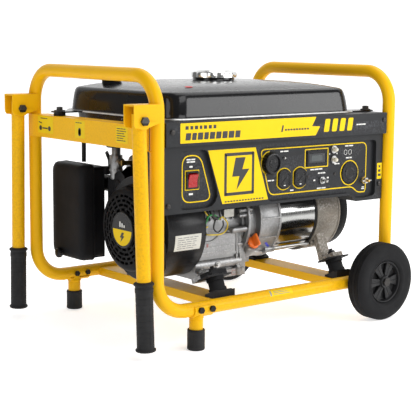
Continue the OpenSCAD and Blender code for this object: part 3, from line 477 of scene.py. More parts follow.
def round_edges(obj, width_mm, angle):
    modifier = obj.modifiers.new("edges", "BEVEL")
    modifier.width = width_mm * TO_METRES
    modifier.segments = 2
    modifier.limit_method = "ANGLE"
    modifier.angle_limit = math.radians(angle)
    modifier.harden_normals = True
    modifier.use_clamp_overlap = True


def dress(look, *names, bevel=0):
    """Gives kept CAD nodes their material, and a rounded edge where asked."""
    for name in names:
        obj = nodes[name]
        for slot in obj.material_slots:
            slot.material = look
        if bevel:
            weld = obj.modifiers.new("weld", "WELD")
            weld.merge_threshold = 0.002 * TO_METRES
            round_edges(obj, bevel, 40)


# ---------- camera, floor and light ----------
def place_camera():
    yaw, pitch, roll = math.radians(38.77), math.radians(8.35), math.radians(0.49)
    ahead = Vector((math.sin(yaw) * math.cos(pitch), math.cos(yaw) * math.cos(pitch), -math.sin(pitch)))
    level = Vector((math.cos(yaw), -math.sin(yaw), 0))
    upright = level.cross(ahead)
    right = math.cos(roll) * level + math.sin(roll) * upright
    up = math.cos(roll) * upright - math.sin(roll) * level
    camera = bpy.data.cameras.new("camera")
    camera.sensor_width = 36
    camera.lens = 101.9
    obj = bpy.data.objects.new("camera", camera)
    turn = Matrix((right, up, -ahead)).transposed().to_4x4()
    obj.matrix_world = Matrix.Translation((-1.5443, -1.9281, 0.5921)) @ turn
    bpy.context.scene.collection.objects.link(obj)
    bpy.context.scene.camera = obj


def soft_light(name, at, aim, size, power):
    light = bpy.data.lights.new(name, "AREA")
    light.shape = "RECTANGLE"
    light.size, light.size_y = size
    light.energy = power
    obj = bpy.data.objects.new(name, light)
    obj.location = at
    obj.rotation_euler = (Vector(aim) - Vector(at)).to_track_quat("-Z", "Y").to_euler()
    bpy.context.scene.collection.objects.link(obj)


def studio():
    """A white sweep behind and below, lit from above, in front and from the side."""
    ahead = Vector((0.626, 0.78, 0))
    across = Vector((0.78, -0.626, 0))
    line = [(-9, 0), (2.4, 0)]
    line += [(2.4 + 1.6 * math.sin(math.radians(a)), 1.6 - 1.6 * math.cos(math.radians(a)))
        for a in range(6, 91, 6)]
    line += [(4, 7)]
    points, faces = [], []
    for reach, height in line:
        for s in (-9, 9):
            points.append(ahead * reach + across * s + Vector((0, 0, height - 0.0005)))
    for k in range(len(line) - 1):
        faces.append((2 * k, 2 * k + 1, 2 * k + 3, 2 * k + 2))
    mesh = bpy.data.meshes.new("sweep")
    mesh.from_pydata(points, [], faces)
    for face in mesh.polygons:
        face.use_smooth = True
    sweep = bpy.data.objects.new("sweep", mesh)
    bpy.context.scene.collection.objects.link(sweep)
    white = surface("white_sweep", (0.88, 0.88, 0.88), 0.8, 0.004, 2, 60, 0, specular=0.1)
    glow = white.node_tree.nodes["Principled BSDF"]
    glow.inputs["Emission Color"].default_value = (1, 1, 1, 1)
    glow.inputs["Emission Strength"].default_value = 0.6
    mesh.materials.append(white)
    world = bpy.data.worlds.new("studio")
    world.use_nodes = True
    back = world.node_tree.nodes["Background"]
    back.inputs["Color"].default_value = (1, 1, 1, 1)
    path = world.node_tree.nodes.new("ShaderNodeLightPath")
    seen = world.node_tree.nodes.new("ShaderNodeMapRange")
    seen.inputs["To Min"].default_value = 0.2
    seen.inputs["To Max"].default_value = 1.2
    world.node_tree.links.new(path.outputs["Is Camera Ray"], seen.inputs["Value"])
    world.node_tree.links.new(seen.outputs["Result"], back.inputs["Strength"])
    bpy.context.scene.world = world
    centre = (0, 0, 0.25)
    soft_light("key", (0, -2.4, 1.7), centre, (1.6, 1.2), 23)
    soft_light("top", (0.7, -0.35, 2.3), centre, (2.2, 2.2), 34)
    soft_light("side", (-2.5, -0.5, 1.3), centre, (1, 1.4), 12)
    soft_light("front", (1.55, -1.95, 0.85), centre, (1.4, 0.8), 23)
    bpy.context.scene.view_settings.view_transform = "Standard"


# ---------- frame ----------
def dress_frame():
    dress(paint, "left_hoop", "right_hoop", "side_rails", "front_handle_tube", "rear_handle_tube")
    dress(paint, "crossmembers", "crossbars", "handle_brackets", "legs", bevel=0.6)
    dress(dark_steel, "wheel_axles")
    dress(bolt_steel, "bolts")


def weld_beads():
    """Uneven fillets where tubes, plates and brackets meet."""
    beads = Shape()
    for side in (-1, 1):
        y = side * POST_Y
        for z in (383, 428):
            beads.tube([(LEFT_X - TUBE_R * math.cos(a), y - side * TUBE_R * math.sin(a), z)
                for a in (0.05, 0.5, 0.95, 1.4)], 1.8, 8)
        for x in (LEFT_X + BEND_R, RIGHT_X - BEND_R):
            beads.lathe((x - 2, y, RAIL_Z), RIGHT,
                [(0, TUBE_R - 0.5), (0.6, TUBE_R + 0.35), (3.4, TUBE_R + 0.35), (4, TUBE_R - 0.5)], 48)
        for x in CROSSMEMBERS:
            for edge in (-25, 25):
                beads.tube([(x + edge, y - side * TUBE_R * math.cos(a), RAIL_Z + TUBE_R * math.sin(a))
                    for a in (-0.6, -0.3, 0, 0.3)], 1.6, 8)
        beads.lathe((LEG_X, y, 60), UP, [(0, TUBE_R - 1), (2, TUBE_R + 1.2), (5.5, TUBE_R + 0.4),
            (6.5, TUBE_R - 1)], 40)
    piece("weld_beads", beads, paint)


def leg_boots():
    """Flared rubber boots with four mould lines each."""
    shape = Shape()
    for side in (-1, 1):
        shape.lathe((LEG_X, side * POST_Y, 0), UP,
            [(0, 0), (0, 15.2), (0.8, 16.6), (2.4, 17.2), (5, 17.2), (6, 16.8), (33, 16.5), (35, 17),
            (38.6, 17), (40, 16.2), (40, 13.4), (36, 13.36)], 64)
        for u, v in around(4, 16.6, 45):
            x, y = LEG_X + u, side * POST_Y + v
            shape.rod((x, y, 6), (x, y, 34), 0.5, n=8)
    piece("leg_boot_pair", shape, rubber, ["leg_boots"])


def grip(side, lean, body, name, node):
    """Ribbed rubber sleeve with a collar at each end, along the handle tube."""
    profile = [(-422, 0), (-422, 16.8), (-421, 18.6), (-419, 19.2), (-417.5, 18.8), (-416.4, 16.9),
        (-415, 16.4)]
    for k in range(9):
        z = -405 + 10.5 * k
        profile += [(z - 0.9, 16.35), (z - 0.4, 16), (z + 0.4, 16), (z + 0.9, 16.35)]
    profile += [(-312, 16.4), (-311, 17.2), (-304, 17.2), (-303, 16.4), (-299, 16.6), (-298, 19),
        (-296.5, 19.3), (-295, 19), (-294, 17.5), (-292, 14.4), (-292, 13.4), (-300, 13.37)]
    shape = Shape().lathe((0, 0, 0), UP, profile, 64)
    for u, v in around(2, 16.3, 90):
        shape.rod((u, v, -414), (u, v, -300), 0.45, n=8)
    turn = (Matrix.Translation((-328, side * POST_Y, 440)) @ Matrix.Rotation(math.radians(-lean), 4, "Y")
        @ Matrix.Rotation(math.radians(side * 1.3), 4, "X"))
    piece(name, shape.turned(turn), rubber, [node], body=body)


# ---------- wheels ----------
def wheel(side, end):
    """Grooved tyre round a six-spoked hub; sections are measured in from the wheel's two faces."""
    body = end + "_wheel"
    base = (WHEEL_X, 0, WHEEL_R)
    axis = (0, side, 0)
    inner, outer = WHEEL_IN, WHEEL_OUT
    tread = [(inner + a, r) for a, r in ((7.5, 44.2), (4.5, 46.5), (2.4, 51), (1.2, 60), (0.6, 68),
        (1.4, 74), (4, 78.6), (8, 80.8))]
    for groove in (-12.5, -8.5, -4.5, 4.5, 8.5, 12.5):
        y = (inner + outer) / 2 + groove
        tread += [(y - 0.7, WHEEL_R), (y - 0.45, WHEEL_R - 2.2), (y + 0.45, WHEEL_R - 2.2),
            (y + 0.7, WHEEL_R)]
    tread += [(outer - a, r) for a, r in ((8, 80.8), (4, 78.6), (1.6, 74.6), (1.2, 73.4), (0.5, 72.4),
        (0.2, 66), (0.5, 58), (1.4, 53), (1, 51.6), (1.6, 49.6), (3.4, 47), (6, 45), (9, 44.2))]
    tyre = Shape().lathe(base, axis, tread, 96, closed=True)
    piece(end + "_tyre_tread", tyre, tyre_rubber, [end + "_tyre"], sharp=40, body=body)
    rim = [(outer - a, r) for a, r in ((9, 44.1), (6.5, 44.1), (5.2, 43), (6.2, 41.2), (10.5, 40.4),
        (17.5, 39.6), (18.5, 37), (18.5, 14))]
    rim += [(inner + a, r) for a, r in ((19, 14), (19, 37), (12, 40), (6, 41.5), (6, 44.1))]
    hub = Shape().lathe(base, axis, rim, 72, closed=True)
    hub.lathe(base, axis, [(inner + 4.2, 6.1), (inner + 4.2, 13), (inner + 6, 14.5), (inner + 20, 16),
        (outer - 14, 16), (outer - 9, 13), (outer - 5.4, 12), (outer - 5, 11), (outer - 5, 6.1)], 48)
    for k in range(6):
        turn = Matrix.Translation(base) @ Matrix.Rotation(math.radians(60 * k + 30), 4, "Y")
        spoke = []
        for r, half, sunk in ((13, 5.6, 9.5), (22, 7.2, 10.6), (32, 9.6, 11.4), (41, 12.4, 11)):
            front = outer - sunk
            ring = [(-half, front - 0.6), (-half + 1.2, front), (-0.8, front), (0, front + 1.1),
                (0.8, front), (half - 1.2, front), (half, front - 0.6), (half, front - 5),
                (-half, front - 5)]
            spoke.append([turn @ Vector((u, side * w, r)) for u, w in ring])
        hub.loft(spoke)
    piece(end + "_hub_spokes", hub, wheel_plastic, [body + "_hub"], bevel=0.35, body=body)


# ---------- fuel tank ----------
def fuel_tank():
    shape = Shape()
    x0, x1, y1 = -233, 250, 185
    upper = [(437.2, -2.6, -2.6, -2.6, 40), (437.7, -0.6, -0.6, -0.6, 38), (439, 0, 0.1, 0, 38),
        (446, 0.7, 1.3, 0.7, 38), (456, 1.5, 2.9, 1.7, 38), (466, 2.5, 5, 2.8, 38), (474, 3.6, 7.2, 4, 38),
        (479, 4.8, 9.4, 5.2, 38), (482, 6.2, 11.6, 6.6, 38), (484, 8.2, 14.2, 8.6, 38),
        (485.2, 10.8, 17, 11, 37), (485.8, 13.6, 20, 13.8, 37), (486.6, 17, 24, 17, 37),
        (488.2, 23, 31, 22.5, 38), (490.2, 31, 41, 30, 40), (492.4, 42, 53, 39, 42),
        (494.5, 56, 67, 50, 46), (496.4, 73, 83, 63, 50), (498, 93, 101, 78, 54), (499.2, 115, 121, 95, 54),
        (499.8, 139, 143, 114, 46), (TANK_TOP, 165, 165, 135, 36), (TANK_TOP, 190, 190, 160, 20)]
    shape.loft([[(x, y, z) for x, y in rounded(x0 + a, -y1 + c, x1 - b, y1 - c, r, 12)]
        for z, a, b, c, r in upper])
    piece("tank_upper_shell", shape, tank_paint, ["fuel_tank"], sharp=60)
    lower = Shape()
    sheet = [(434.5, 0, 34), (418, 1.5, 34), (404, 5, 33), (396, 12, 30), (390, 24, 24), (387, 42, 20)]
    rings = []
    for z, d, r in sheet:
        share = (434.5 - z) / 47.5
        rings.append([(x, y, z + share * 18 * max(0, (x + 120) / 370))
            for x, y in rounded(x0 + 10 + d, -158 + d, x1 - 10 - d, 175 - d, r, 12)])
    lower.loft(rings)
    piece("tank_lower_shell", lower, tank_paint, sharp=60)
    seam = Shape()
    outline = rounded(-243, -195, 260, 195, 44, 10)

    def rim(*levels):
        return [[(x, y, z) for x, y in inset(outline, d)] for z, d in levels]

    seam.loft(rim((434.6, 1), (434.2, 0.3), (434.6, 0), (435.2, 0.1), (437.6, 2.3), (438, 3.2), (437.8, 5)))
    # Thin bright zinc strip along the flange edge: a painted highlight standing in for the gloss black seam
    # catching the light.
    edge = Shape().loft(rim((435.1, 0.6), (435.3, 0), (437.75, 2.2), (437.3, 2.9)))
    piece("tank_seam_painted_highlight", edge, zinc_and_painted_highlight)
    ears = [[(240, 143), (312, 145), (312, 178), (240, 184)]]
    ears.append([(240, -184), (312, -182), (312, -149), (240, -143)])
    for y in (-125, 125):
        ears.append([(-296, y - 17), (-228, y - 22), (-228, y + 22), (-296, y + 17)])
    for ear in ears:
        seam.plate_z(soften(ear, 8), 434.5, 437.5)
    piece("tank_seam_flange", seam, tank_paint, bevel=0.5)
    neck = Shape().lathe((CAP_X, 0, 0), UP, [(496, 46), (500.4, 43.6), (504.8, 43.4), (505.2, 33),
        (506, 32), (506, 29.4), (498, 29.2)], 64)
    neck.lathe((-200, 45, 0), UP, [(366, 9.5), (366, 19), (367, 20), (380, 20), (394, 26)], 48)
    piece("tank_neck_and_sump", neck, tank_paint)
    mark = Shape()
    mark.plate_z(arc(0, 0, 1, 0, 360, 24)[:-1], 0, DECAL)
    place = Matrix.Translation((-158, -140, 493.9)) @ Matrix.Rotation(math.radians(10.8), 4, "X")
    mark.turned(place @ Matrix.Diagonal((9, 5, 1, 1)))
    piece("tank_top_mark", mark, mark_red)


def fuel_cap():
    """Pressed chrome cap with a scalloped skirt and a domed top."""
    shape = Shape()
    lobes = 12

    def ring(z, r, depth):
        points = []
        for k, (u, v) in enumerate(around(lobes * 14, 1)):
            reach = r - depth * (0.5 + 0.5 * math.cos(2 * math.pi * k / 14))
            points.append((CAP_X + reach * u, reach * v, z))
        return points

    levels = [(505.4, 44.6, 0), (505.2, 47.6, 0.8), (505.6, 48.8, 1.3), (507, 49, 1.8), (515, 48.6, 1.8),
        (516.6, 47.6, 1.5), (517.4, 45.6, 0.8), (517.7, 43, 0.3), (517.2, 41, 0), (516.8, 39, 0),
        (517.2, 37, 0), (519.2, 35.4, 0), (520.2, 33, 0), (520.6, 20, 0), (520.7, 4, 0)]
    shape.loft([ring(*level) for level in levels])
    shape.lathe((CAP_X, 0, 0), UP, [(520.5, 4.5), (520.9, 4.2), (520.9, 1.5), (520.4, 1)], 32)
    piece("fuel_cap_chrome", shape, chrome, ["fuel_cap"], sharp=50, body="cap")


def fuel_gauge():
    x, y = -175, 98
    shape = Shape().lathe((x, y, 0), UP, [(492, 19.4), (497, 19.4), (499, 20.4), (500, 20.4), (501, 19),
        (506.5, 18.4), (508, 17.6), (508, 15.4), (506.2, 14.6), (505.8, 0)], 64)
    for u, v in around(12, 19):
        shape.rod((x + u, y + v, 500.2), (x + u, y + v, 506.4), 1.5, 1.2, n=10)
    piece("fuel_gauge_bezel", shape, moulded, ["fuel_gauge"])
    face = Shape().lathe((x, y, 0), UP, [(505.9, 14.5), (506.3, 14.4), (506.9, 10), (507.1, 0)], 48)
    piece("fuel_gauge_window", face, display_glass)
    needle = Shape().box((-176, 90, 507.2), (-174.6, 106, 507.5))
    for k in range(5):
        tick = -164.8 - 1.2 * abs(k - 2)
        needle.box((tick, 90 + 3.6 * k, 507), (tick + 1.6, 91.2 + 3.6 * k, 507.2))
    piece("fuel_gauge_pointer", needle, print_white)


# ---------- control panel, as (x, z) places on its faces ----------
BADGE = [(-133.5, 274.2), (-17.6, 274.2), (-51.5, 378.3), (-169.3, 378.3)]
LEFT_LINE = [(-225.2, 281.2), (-152.7, 281.2), (-180.5, 371.2), (-225.2, 371.2)]
RIGHT_LINE = [(-8, 279.5), (224, 279.5), (240, 266.5), (262, 266), (265.5, 272), (265.5, 373), (-33.5, 373)]
OVALS = ((31, 310), (74, 310))
LOCK = (215.5, 310.5)
BIG = (-6.5, 344)
SWITCH = (-201, 324)
METER = (120, 347)


def printed(shape, face, outline, line=0, layer=1):
    """A printed area on a panel face, or only a line of that width inside its edge."""
    low = face - layer * DECAL
    high = low + DECAL - (HAIR if layer == 1 else 0)
    if line:
        shape.strip_y(outline, line, low, high)
    else:
        shape.plate_y(outline, low, high)


def panel_prints():
    yellow = Shape()
    strip = [(-242.5, 395.5), (98.5, 395.5), (110.5, 413), (88, 413.8), (99.5, 432.5), (-242.5, 432.5)]
    printed(yellow, BAND_FRONT, soften(strip, 1.5))
    for k in range(4):
        x = 121 + 22 * k
        printed(yellow, BAND_FRONT, soften([(x, 401), (x + 14, 401), (x + 18.5, 427), (x + 4.5, 427)], 3.5))
    printed(yellow, PANEL_FRONT, BADGE)
    printed(yellow, POCKET_FLOOR, soften(LEFT_LINE, 20), 2.2)
    printed(yellow, POCKET_FLOOR, soften(RIGHT_LINE, 15), 2.2)
    for (x, z), half_x, half_z, corner, line in ((SWITCH, 16.8, 18.9, 1, 1.9), (METER, 33, 19.5, 2, 2.2)):
        printed(yellow, POCKET_FLOOR, rounded(x - half_x, z - half_z, x + half_x, z + half_z, corner, 3),
            line)
    for x, z in OVALS:
        printed(yellow, POCKET_FLOOR, oval(x, z, 22.5, 18.8), 1.9)
    printed(yellow, POCKET_FLOOR, arc(*LOCK, 26.6, 0, 360, 48)[:-1], 2.2)
    printed(yellow, POCKET_FLOOR, arc(*BIG, 24.4, 95, 245, 24) + arc(*BIG, 22.2, 245, 95, 24))
    printed(yellow, PANEL_FRONT, rounded(290.5, 293, 304.8, 327, 1))
    piece("panel_yellow_print", yellow, print_yellow)

    # bars and a lightning bolt on the yellow fields
    black = Shape()
    x = -231
    for width in (9, 8, 9, 7, 9, 9, 8):
        printed(black, BAND_FRONT, rounded(x, 420.5, x + width * 0.8, 427, 0.6, 2), layer=2)
        x += width + 2.5
    x = -231
    for width in (12, 10, 12, 10, 12, 12, 12, 13, 12):
        slanted = [(x, 401), (x + width, 401), (x + width + 1.5, 414), (x + 1.5, 414)]
        printed(black, BAND_FRONT, soften(slanted, 1), layer=2)
        x += width + 3.2
    printed(black, BAND_FRONT, soften([(5, 406), (9, 406), (12, 419), (8, 419)], 1), layer=2)
    for k in range(9):
        printed(black, BAND_FRONT, rounded(15 + 7.4 * k, 408, 20 + 7.4 * k, 411.5, 0.5, 2), layer=2)
    printed(black, PANEL_FRONT, rounded(-129.5, 288.7, -54.7, 370.8, 2, 3), 6, 2)
    bolt = [(-102, 361), (-77, 361), (-85, 338), (-67, 338), (-99, 299), (-92, 325), (-110, 325)]
    printed(black, PANEL_FRONT, bolt, layer=2)
    for k in range(14):
        printed(black, PANEL_FRONT, rounded(-128 + 7.2 * k, 276.6, -123.4 + 7.2 * k, 279.2, 0.4, 2), layer=2)
    for k in range(3):
        printed(black, PANEL_FRONT, rounded(293 + k, 299 + 9 * k, 302 - k, 304 + 9 * k, 0.6, 2), layer=2)
    piece("panel_black_print", black, print_and_shade_black)

    # rows of plain bars where a panel has lettering
    white = Shape()
    rows = [(x, z, widths, 2.6, POCKET_FLOOR) for x, z, widths in ((-204, 361.5, (10, 9)),
        (-204, 357, (7, 11)), (31, 364, (8, 12)), (-3, 308, (9, 8)), (120, 322.5, (10, 12, 9)),
        (135, 314, (6, 4, 8)), (135, 283, (11, 12)), (213, 366, (10, 12)), (213, 341, (9, 7)),
        (178.5, 330.5, (7, 6)), (53, 284.5, (9,)))]
    rows += [(x, z, (width,), height, POCKET_FLOOR)
        for x, z, width, height in ((-203.5, 347.5, 7.5, 3.4), (-203.5, 296, 9.5, 3.6), (115, 300, 5, 3),
        (153, 296, 4, 3), (153, 303, 5, 3), (257, 276.5, 7, 2.2), (257, 273, 9, 2.2), (157, 351.5, 2.5, 3),
        (178, 351.5, 2.5, 3))]
    rows.append((228, 411, (6, 5, 4, 7), 2.6, BAND_FRONT))
    for middle, z, widths, height, face in rows:
        x = middle - (sum(widths) + 1.4 * (len(widths) - 1)) / 2
        for width in widths:
            printed(white, face, rounded(x, z, x + width, z + height, 0.4, 2))
            x += width + 1.4
    for k in range(2):
        printed(white, POCKET_FLOOR, oval(203 + 13 * k, 354, 5.2, 4.4, 8), 0.7)
    piece("panel_white_print", white, print_white)


def oval(x, z, r, half, steps=20):
    """A circle cut off flat at both sides, anticlockwise."""
    a = math.degrees(math.acos(half / r))
    return arc(x, z, r, a, 180 - a, steps) + arc(x, z, r, 180 + a, 360 - a, steps)


def outlet_faces():
    """Raised faces, blade slots and rims of the four outlets."""
    body, slots, metal = Shape(), Shape(), Shape()
    y = POCKET_FLOOR
    for x, z in OVALS:
        outline = oval(x, z, 20, 16.5)
        rings = ((1, 0), (-3.2, 0), (-4.4, 1), (-4.4, 3), (-3.4, 3.8), (-3.4, 8))
        body.loft([[(u, y + depth, w) for u, w in inset(outline, d)] for depth, d in rings])
        for s in (-1, 1):
            slots.box((x + s * 6 - 1.1, y - 3.55, z + 0.5), (x + s * 6 + 1.1, y - 3.3, z + 8))
        slots.lathe((x, y - 3.3, z - 7), FRONT, [(0, 2.6), (0.25, 2.6), (0.25, 0)], 24)
        metal.box((x - 3, y - 3.6, z - 13.5), (x + 2, y - 3.35, z - 11.5))
    x, z = LOCK
    body.lathe((x, y, z), FRONT, [(-1, 23.4), (2.2, 23.4), (3.2, 22.4), (3.2, 20.6), (2, 19.8), (2, 14.5),
        (2.6, 14), (2.6, 0)], 64)
    for a in (20, 140, 260):
        slots.plate_y(arc(x, z, 11.8, a, a + 62, 8) + arc(x, z, 9.4, a + 62, a, 8), y - 2.85, y - 2.55)
    x, z = BIG
    body.lathe((x, y, z), FRONT, [(-1, 21), (9.6, 21), (11.6, 20.2), (12.2, 18.8), (12.2, 17), (9.4, 16.2),
        (8.6, 16), (8.6, 9), (9.4, 8.4), (9.4, 0)], 64)
    for u, w in around(20, 20.9):
        body.rod((x + u, y - 1, z + w), (x + u, y - 9.6, z + w), 0.9, n=8)
    for left in (x - 6.4, x + 4.4):
        slots.box((left, y - 9.6, z + 1), (left + 2, y - 9.38, z + 7))
    piece("outlet_faces", body, fitting_black, ["receptacles"], bevel=0.25)
    piece("outlet_slots", slots, print_and_shade_black)
    piece("outlet_marks", metal, print_white)


def panel_fittings():
    dress(panel_paint, "control_panel", "panel_back_cover", bevel=1.1)
    dress(fitting_black, "switch_housing", bevel=0.5)
    dress(red_plastic, "switch_rocker", bevel=0.8)
    dress(fitting_black, "hour_meter", bevel=0.5)
    dress(zinc_and_painted_highlight, "panel_bushings", "voltage_toggle", "ground_wing_nut", bevel=0.25)
    dress(ivory, "breaker_button_upper", "breaker_button_lower")
    dress(brass, "ground_stud")
    y = POCKET_FLOOR
    x, z = METER
    glass = Shape().plate_y(rounded(x - 22.6, z - 9.2, x + 22.6, z + 9.2, 1.2, 4), y - 2.4, y - 1.5)
    piece("meter_window", glass, display_glass, bevel=0.3)
    digits = Shape().plate_y(rounded(x - 16, z - 5.6, x + 14, z + 5.6, 0.8, 3), y - 2.55, y - 2.42)
    piece("meter_digits", digits, display_face)
    heads = Shape()
    for px, pz in ((8, 310), (96.5, 310), (172.5, 311), (256.5, 310.6)):
        heads.lathe((px, y, pz), FRONT, [(0, 3.4), (0.6, 3.4), (1.8, 2.4), (2.2, 0)], 24)
    for px, pz, py in ((-260.5, 417, BAND_FRONT), (-262.5, 280, PANEL_FRONT), (297, 419, BAND_FRONT),
            (297, 283, PANEL_FRONT)):
        heads.lathe((px, py - 2.5, pz), FRONT, [(-1.6, 5), (-0.8, 5.2), (0.3, 4.2), (0.9, 2), (0.5, 1.2),
            (0.5, 0)], 28)
    piece("panel_screw_heads", heads, dark_steel)


# ---------- engine ----------
# angle round the crank axis, start, end and radius of each boss
JOINT_BOSSES = ((20, -14, 18, 5.5), (12.5, -16, 14, 5), (-8, -36, 3, 6.5), (-34, -12, 16, 5),
    (44, -14, 16, 5), (66, -14, 16, 5), (90, -14, 16, 5), (116, -14, 16, 5), (205, -14, 16, 5),
    (232, -14, 16, 5))


def on_cylinder(r, angle):
    """(y, z) on a circle round the crank axis; angle 0 faces -Y and 90 faces up."""
    a = math.radians(angle)
    return CRANK_Y - r * math.cos(a), CRANK_Z + r * math.sin(a)


def curved_patch(shape, r, x0, x1, a0, a1, thick, steps=8):
    """A thin patch wrapped round the crank axis between two angles."""
    inner = [on_cylinder(r, a0 + (a1 - a0) * k / steps) for k in range(steps + 1)]
    outer = [on_cylinder(r + thick, a1 + (a0 - a1) * k / steps) for k in range(steps + 1)]
    return shape.plate_x(inner + outer, x0, x1)


def crankcase_details():
    front = CRANK_Y - 66
    shape = Shape()
    # flat raised face, the ridge round it and the double ridge beside the joint
    shape.plate_y(soften([(-119, 152), (4, 152), (4, 206), (-119, 206)], 3), front - 0.9, front + 0.5)
    ridge = ((-118, 181), (-94, 181), (-76, 183), (-66, 188.5), (-56, 194.5), (-20, 194.5), (-13, 189),
        (-13, 156))
    shape.tube([(x, front - 1, z) for x, z in ridge], 2.4, 12)
    for x, depth in ((-4.5, 2.6), (-10.5, 1.6)):
        shape.box((x - 1.7, front - depth, 135), (x + 1.7, front + 2, 194))
    for z in (160, 170):
        shape.box((-119, front - 1.7, z - 0.9), (-16, front, z + 0.9))
    # rounded sump bulge under the groove
    bulge = ((6, 147), (-0.2, 145.5), (-3.2, 142.8), (-5.2, 139.2), (-6.2, 135), (-5.8, 130.6), (-4, 126.6),
        (-0.5, 123.5), (6, 122))
    shape.plate_x([(front + y, z) for y, z in bulge], -122, -2)
    for x in (-15, -5):
        shape.box((x - 1.5, front - 5.2, 119), (x + 1.5, front + 2, 150))
    # cooling ribs over the round top of the case
    for k in range(9):
        x = -126 + 14.5 * k
        rib = [on_cylinder(69.5, a) for a in range(8, 96, 8)] + [on_cylinder(64, a) for a in range(94, 6, -8)]
        shape.plate_x(rib, x - 1.3, x + 1.3)
    # joint against the bell housing, with its bosses
    for x0, x1, r in ((-3, 3.4, 74), (4.6, 10, 86.6)):
        shape.round_crank(lip(x0, x1, r, r - 12, 0.8), 72)
    for a, x0, x1, r in JOINT_BOSSES:
        y, z = on_cylinder(JOINT_R, a)
        shape.lathe((0, y, z), RIGHT, [(x0, r - 1.2), (x0 + 1.2, r), (x1 - 1.5, r), (x1, r - 1), (x1, 0)], 28)
    # base flange with pads
    shape.box((-119.6, CRANK_Y - 74.7, 106.6), (4.5, CRANK_Y - 64, 121.5))
    for x in BASE_BOLTS:
        shape.lathe((x, CRANK_Y - 70, 107.5), UP, [(0, 10), (14, 10), (15.4, 8.6), (15.4, 0)], 36)
    piece("crankcase_castings", shape, cast, bevel=0.7)

    screws = Shape()
    for a, x0, x1, r in JOINT_BOSSES:
        screws.bolt((x1, *on_cylinder(JOINT_R, a)), RIGHT, min(4, r - 1.4), 3.6)
    for x in BASE_BOLTS:
        screws.bolt((x, CRANK_Y - 70, 122.8), UP, 6, 5)
    screws.lathe((-66, front - 6.6, 134), FRONT, [(0, 6.4), (1.2, 6.4), (1.8, 5.6)], 32)
    screws.rod((-66, front - 8, 134), (-66, front - 11, 134), 4.4, n=6)
    for x in (-112, -30):
        screws.bolt((x, front - 0.8, 200), FRONT, 4.2, 3.4)
    piece("case_screws", screws, zinc_and_painted_highlight)

    foot = Shape().box((-19.7, -18.8, 0), (19.7, 20, 9.7))
    foot.turned(Matrix.Translation((MOUNT_X, CRANK_Y - 130, SEAT_Z))
        @ Matrix.Rotation(math.radians(-25), 4, "X") @ Matrix.Translation((0, 0, 34)))
    piece("front_mount_foot", foot, moulded, bevel=1.2)
    gasket = Shape().round_crank(band(3.3, 4.7, 70, 75.4), 72)
    piece("case_gasket", gasket, black_wire)
    marks = Shape().box((-91, front - 1.3, 170.5), (-86.5, front - 0.95, 177.5))
    marks.strip_y(rounded(-31, 109.5, -17, 118.5, 1.5, 4), 0.9, front - 9, front - 8.72)
    piece("inspection_marks", marks, mark_faint)
    tag = Shape().box((-48, front - 3.4, 228), (-22, front - 3, 244))
    tag.box((-47, front - 3.2, 240), (-23, front + 3, 241))
    piece("engine_tag", tag, label_paper)


def bell_details():
    shape = Shape()
    r = STATOR_R
    for x0, x1, extra in ((87.5, 92.8, 1.6), (36.2, 40.5, 1.2)):
        shape.round_crank(lip(x0, x1, r + extra, r - 4, 0.6), 96)
    for a in (-52, -24, 4, 26, 48, 70, 92, 118, 150):
        rib = [on_cylinder(r - 1, a - 1.6), on_cylinder(r + 1.8, a - 1), on_cylinder(r + 1.8, a + 1),
            on_cylinder(r - 1, a + 1.6)]
        shape.plate_x(rib, 37, 89)
    # filler boss lip round the dipstick
    shape.lathe(FILLER, FILLER_AXIS, [(-30, 16.6), (-6, 16.2), (-0.6, 15.6), (1.4, 14.4), (1.4, 13.4),
        (0.3, 13.2), (0.3, 9.2), (-10, 9.1)], 48)
    piece("bell_castings", shape, cast, bevel=0.7)
    streak = Shape()
    for k in range(5):
        curved_patch(streak, r, 61 + 3.4 * k, 66 + 3.4 * k, -35.5 - 2 * k, -32.8 - 2 * k, 0.3, 2)
    piece("blue_witness_mark", streak, mark_blue)


def dipstick():
    """Orange cap with a waisted finger bar; its axis slants up towards the front."""
    shape = Shape().lathe((0, 0, 0), UP, [(-12, 8.9), (0.4, 8.9), (2, 9.4), (2.2, 11.8), (3, 12.5),
        (6, 12.5), (7.2, 11.6), (8.2, 9), (8.6, 0)], 48)
    for u, v in around(12, 12.3):
        shape.rod((u, v, 2.6), (u, v, 6.2), 1, n=10)
    bar = []
    for z, half, thick in ((4, 10.5, 3.6), (9, 11, 3.4), (15, 12.6, 3), (20.5, 13.4, 2.8),
            (23.2, 12.4, 2.2), (24, 10.4, 1.4)):
        bar.append([(u, v, z - (1.4 if abs(u) < half * 0.5 and z > 18 else 0))
            for u, v in rounded(-half, -thick, half, thick, thick * 0.9, 5)])
    shape.loft(bar)
    shape.rod((0, 0, -12), (0, 0, -55), 2, n=12)
    for k in range(5):
        shape.lathe((0, 0, -2 - 2 * k), (0, 0, -1), [(0, 8.9), (0.6, 9), (1.2, 8.9)], 40)
    across = Vector((0, -0.573576, -0.819152))
    turn = Matrix((across, Vector((1, 0, 0)), Vector((0, -0.819152, 0.573576)))).transposed().to_4x4()
    shape.turned(Matrix.Translation(FILLER) @ turn)
    piece("oil_filler_cap", shape, orange, ["dipstick"], sharp=45, body="oil_dipstick")


